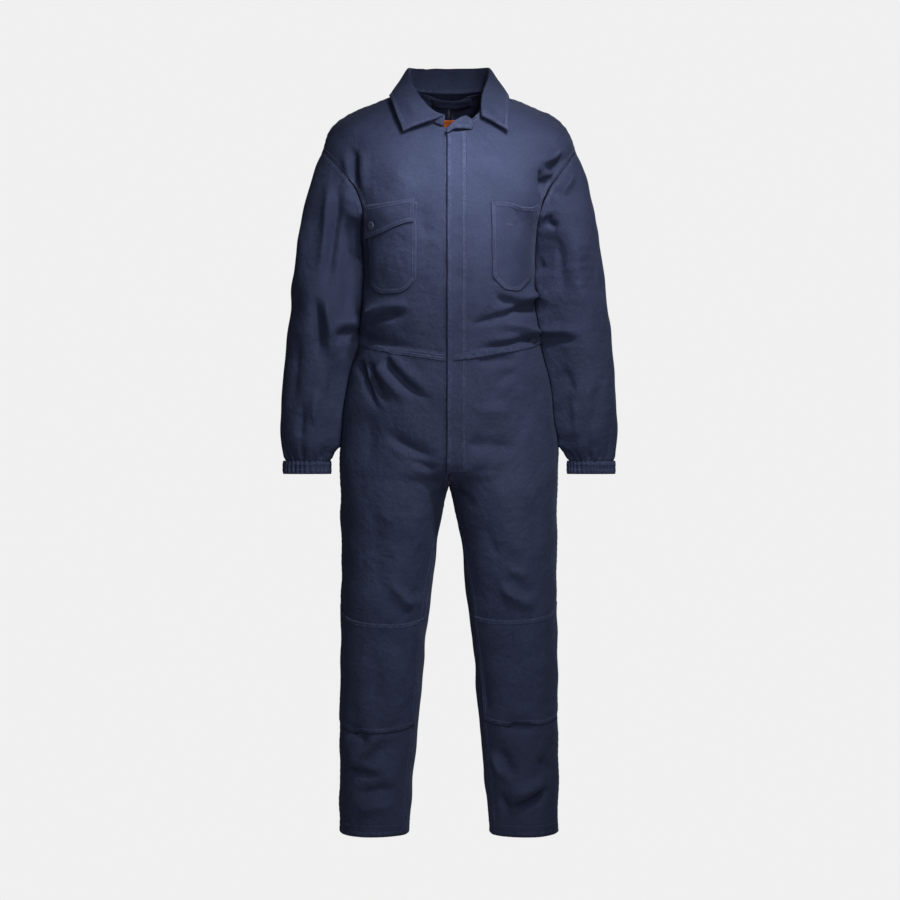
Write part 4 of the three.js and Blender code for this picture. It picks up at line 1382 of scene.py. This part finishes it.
class SUIT_OT_stitching(bpy.types.Operator):
    """Sews rows of stitches along the seams, hems, pockets, patches and edges"""

    bl_idname = "suit.stitching"
    bl_label = "Stitching"

    def execute(self, context):
        size = settings().stitch
        edge, double = size.edge, size.double

        def rows_on(nodes, insets, keep=everywhere):
            return [
                row for node in nodes for inset in insets for row in inset_rows(made(cloth_name(node)), inset, keep)
            ]

        def own(nodes):
            return surface_of([made(cloth_name(node)) for node in nodes])

        def upper(path):
            return (height_of(path) > ABOVE_WAIST) & (np.abs(path[:, 0]) > OFF_PLACKET)

        def centre_back(path):
            return (height_of(path) > ABOVE_BAND) & (np.abs(path[:, 0]) < AT_CENTRE)

        def seams(path):
            legs = (height_of(path) > ABOVE_HEM) & (height_of(path) < BELOW_WAIST)
            return legs & (np.abs(path[:, 0]) > AT_CENTRE)

        def hems(path):
            return height_of(path) < ABOVE_HEM

        bodice_rows = rows_on(BODY_PANELS, (edge, double), upper) + rows_on(BACKS[:1], (edge, double), centre_back)
        sew("stitches_bodice", bodice_rows, own(BODY_PANELS))
        fronts = LEG_PANELS[:2]
        leg_rows = rows_on(fronts, (edge, double), seams) + rows_on(LEG_PANELS, (size.hem,), hems)
        sew("stitches_legs", leg_rows, own(LEG_PANELS))
        bands = ["waist_band_left", "waist_band_right", "waist_band_back"]
        patches = ["knee_patch_left", "knee_patch_right"]
        sew("stitches_bands", rows_on(bands, (edge, size.band)), own(bands))
        sew("stitches_patches", rows_on(patches, (edge, double)), own(patches))
        pockets = ["pocket_left", "pocket_right"]
        tacks = [np.array([[x * MM, -0.1, HEM + h * MM] for x in PEN_SLOT["x"]]) for h in PEN_SLOT["heights"]]
        sew("stitches_pockets", rows_on(pockets, (edge, double)) + tacks, own(pockets))
        sew("stitches_flap", rows_on(["pocket_flap"], (edge, double)), own(["pocket_flap"]))
        placket_rows = rows_on(["placket"], PLACKET_ROWS, lambda path: path[:, 0] > 0.02)
        sew("stitches_placket", placket_rows, own(["placket"]))
        sew("stitches_collar", rows_on(["collar"], COLLAR_ROWS), own(["collar"]))
        return {"FINISHED"}


# Stage

SPOT_RADIUS = 0.11
FLOOR = {"radius": 0.95, "below": 0.36, "thickness": 0.02}


def light_of(kind, name, place, target, watts, **values):
    light = bpy.data.lights.new(name, kind)
    light.energy = watts
    for key, value in values.items():
        setattr(light, key, value)
    lamp = object_of(name, light)
    lamp.location = place
    lamp.rotation_euler = (Vector(target) - Vector(place)).to_track_quat("-Z", "Y").to_euler()


def area_light(name, place, target, size, watts):
    light_of("AREA", name, place, target, watts, shape="RECTANGLE", size=size[0], size_y=size[1])


def spot_light(name, place, target, cone, watts):
    spread = math.radians(cone)
    light_of("SPOT", name, place, target, watts, spot_size=spread, spot_blend=1.0, shadow_soft_size=SPOT_RADIUS)


class SUIT_OT_stage(bpy.types.Operator):
    """Sets the pale floor, the backdrop, the soft lights and the camera"""

    bl_idname = "suit.stage"
    bl_label = "Stage"

    def execute(self, context):
        stage = settings().stage
        scene = bpy.context.scene
        bm = bmesh.new()
        bmesh.ops.create_circle(bm, cap_ends=True, segments=96, radius=FLOOR["radius"])
        top = bmesh.ops.extrude_face_region(bm, geom=bm.faces[:])
        lower = [g for g in top["geom"] if isinstance(g, bmesh.types.BMVert)]
        bmesh.ops.translate(bm, vec=(0, 0, -FLOOR["thickness"]), verts=lower)
        bmesh.ops.translate(bm, vec=(0, 0, HEM - FLOOR["below"]), verts=bm.verts)
        bmesh.ops.recalc_face_normals(bm, faces=bm.faces[:])
        mesh = bpy.data.meshes.new("floor")
        bm.to_mesh(mesh)
        bm.free()
        floor = object_of("floor", mesh)
        material, w, shader = new_material("floor_paint")
        speckle = w.noise(w.node("ShaderNodeTexCoord").outputs["Object"], 30.0)
        w.feed(shader.inputs["Base Color"], w.mix_colour(speckle, (0.78, 0.78, 0.78, 1), (0.82, 0.82, 0.82, 1)))
        mesh.materials.append(material)

        world = bpy.data.worlds.new("studio")
        scene.world = world
        world.use_nodes = True
        w = Wiring(world.node_tree)
        backdrop = world.node_tree.nodes["Background"]
        around = w.node("ShaderNodeBackground")
        seen = w.node("ShaderNodeLightPath").outputs["Is Camera Ray"]
        pale = stage.backdrop
        backdrop.inputs["Color"].default_value = (pale, pale, pale, 1)
        backdrop.inputs["Strength"].default_value = 1.0
        around.inputs["Color"].default_value = (0.92, 0.95, 1.0, 1)
        around.inputs["Strength"].default_value = stage.ambient
        join = w.node("ShaderNodeMixShader")
        w.feed(join.inputs[0], seen)
        w.feed(join.inputs[1], around.outputs[0])
        w.feed(join.inputs[2], backdrop.outputs[0])
        w.feed(world.node_tree.nodes["World Output"].inputs[0], join.outputs[0])

        spot_light("key", (0.50, -1.00, 0.72), (0, 0, -0.56), 44, stage.key)
        spot_light("chest", (0.34, -1.10, 0.40), (-0.02, 0, -0.20), 22, stage.chest)
        area_light("front", (0.25, -1.30, -0.55), (0, 0, -0.95), (0.7, 1.2), stage.front)
        area_light("fill_left", (-2.2, -1.6, 0.1), (0, 0, -0.6), (1.2, 2.0), stage.fill)
        area_light("fill_right", (2.3, -1.4, 0.0), (0, 0, -0.6), (1.2, 2.0), stage.fill * 0.8)
        area_light("back", (0.4, 2.2, 0.9), (0, 0, -0.5), (1.8, 1.8), stage.front * 4)

        camera = bpy.data.cameras.new("camera")
        camera.lens = stage.lens
        camera.sensor_width = 36.0
        eye = bpy.data.objects.new("camera", camera)
        eye.location = (0.002, -stage.distance, HEM + stage.eye_height)
        eye.rotation_euler = (math.radians(90), 0, 0)
        scene.collection.objects.link(eye)
        scene.camera = eye
        scene.view_settings.view_transform = "Standard"
        return {"FINISHED"}


class SUIT_PT_panel(bpy.types.Panel):
    """Lists the steps that make the suit"""

    bl_label = "Boiler suit"
    bl_idname = "SUIT_PT_panel"
    bl_space_type = "VIEW_3D"
    bl_region_type = "UI"
    bl_category = "Boiler suit"

    def draw(self, context):
        for step in STEPS:
            self.layout.operator(step.bl_idname)
        for group in (settings().cloth, settings().stitch, settings().colours, settings().stage):
            box = self.layout.box()
            for name in group.__annotations__:
                box.prop(group, name)


STEPS = [
    SUIT_OT_panels,
    SUIT_OT_sleeves,
    SUIT_OT_cuffs,
    SUIT_OT_collar,
    SUIT_OT_trim,
    SUIT_OT_pockets,
    SUIT_OT_neck,
    SUIT_OT_button,
    SUIT_OT_stitching,
    SUIT_OT_stage,
]
CLASSES = [ClothSizes, StitchSizes, Colours, StageSizes, SuitSettings, *STEPS, SUIT_PT_panel]


def register():
    for cls in CLASSES:
        bpy.utils.register_class(cls)
    bpy.types.Scene.boiler_suit = PointerProperty(type=SuitSettings)


def unregister():
    del bpy.types.Scene.boiler_suit
    for cls in reversed(CLASSES):
        bpy.utils.unregister_class(cls)


def main():
    register()
    for step in STEPS:
        getattr(bpy.ops.suit, step.bl_idname.split(".")[1])()


if __name__ == "__main__":
    main()
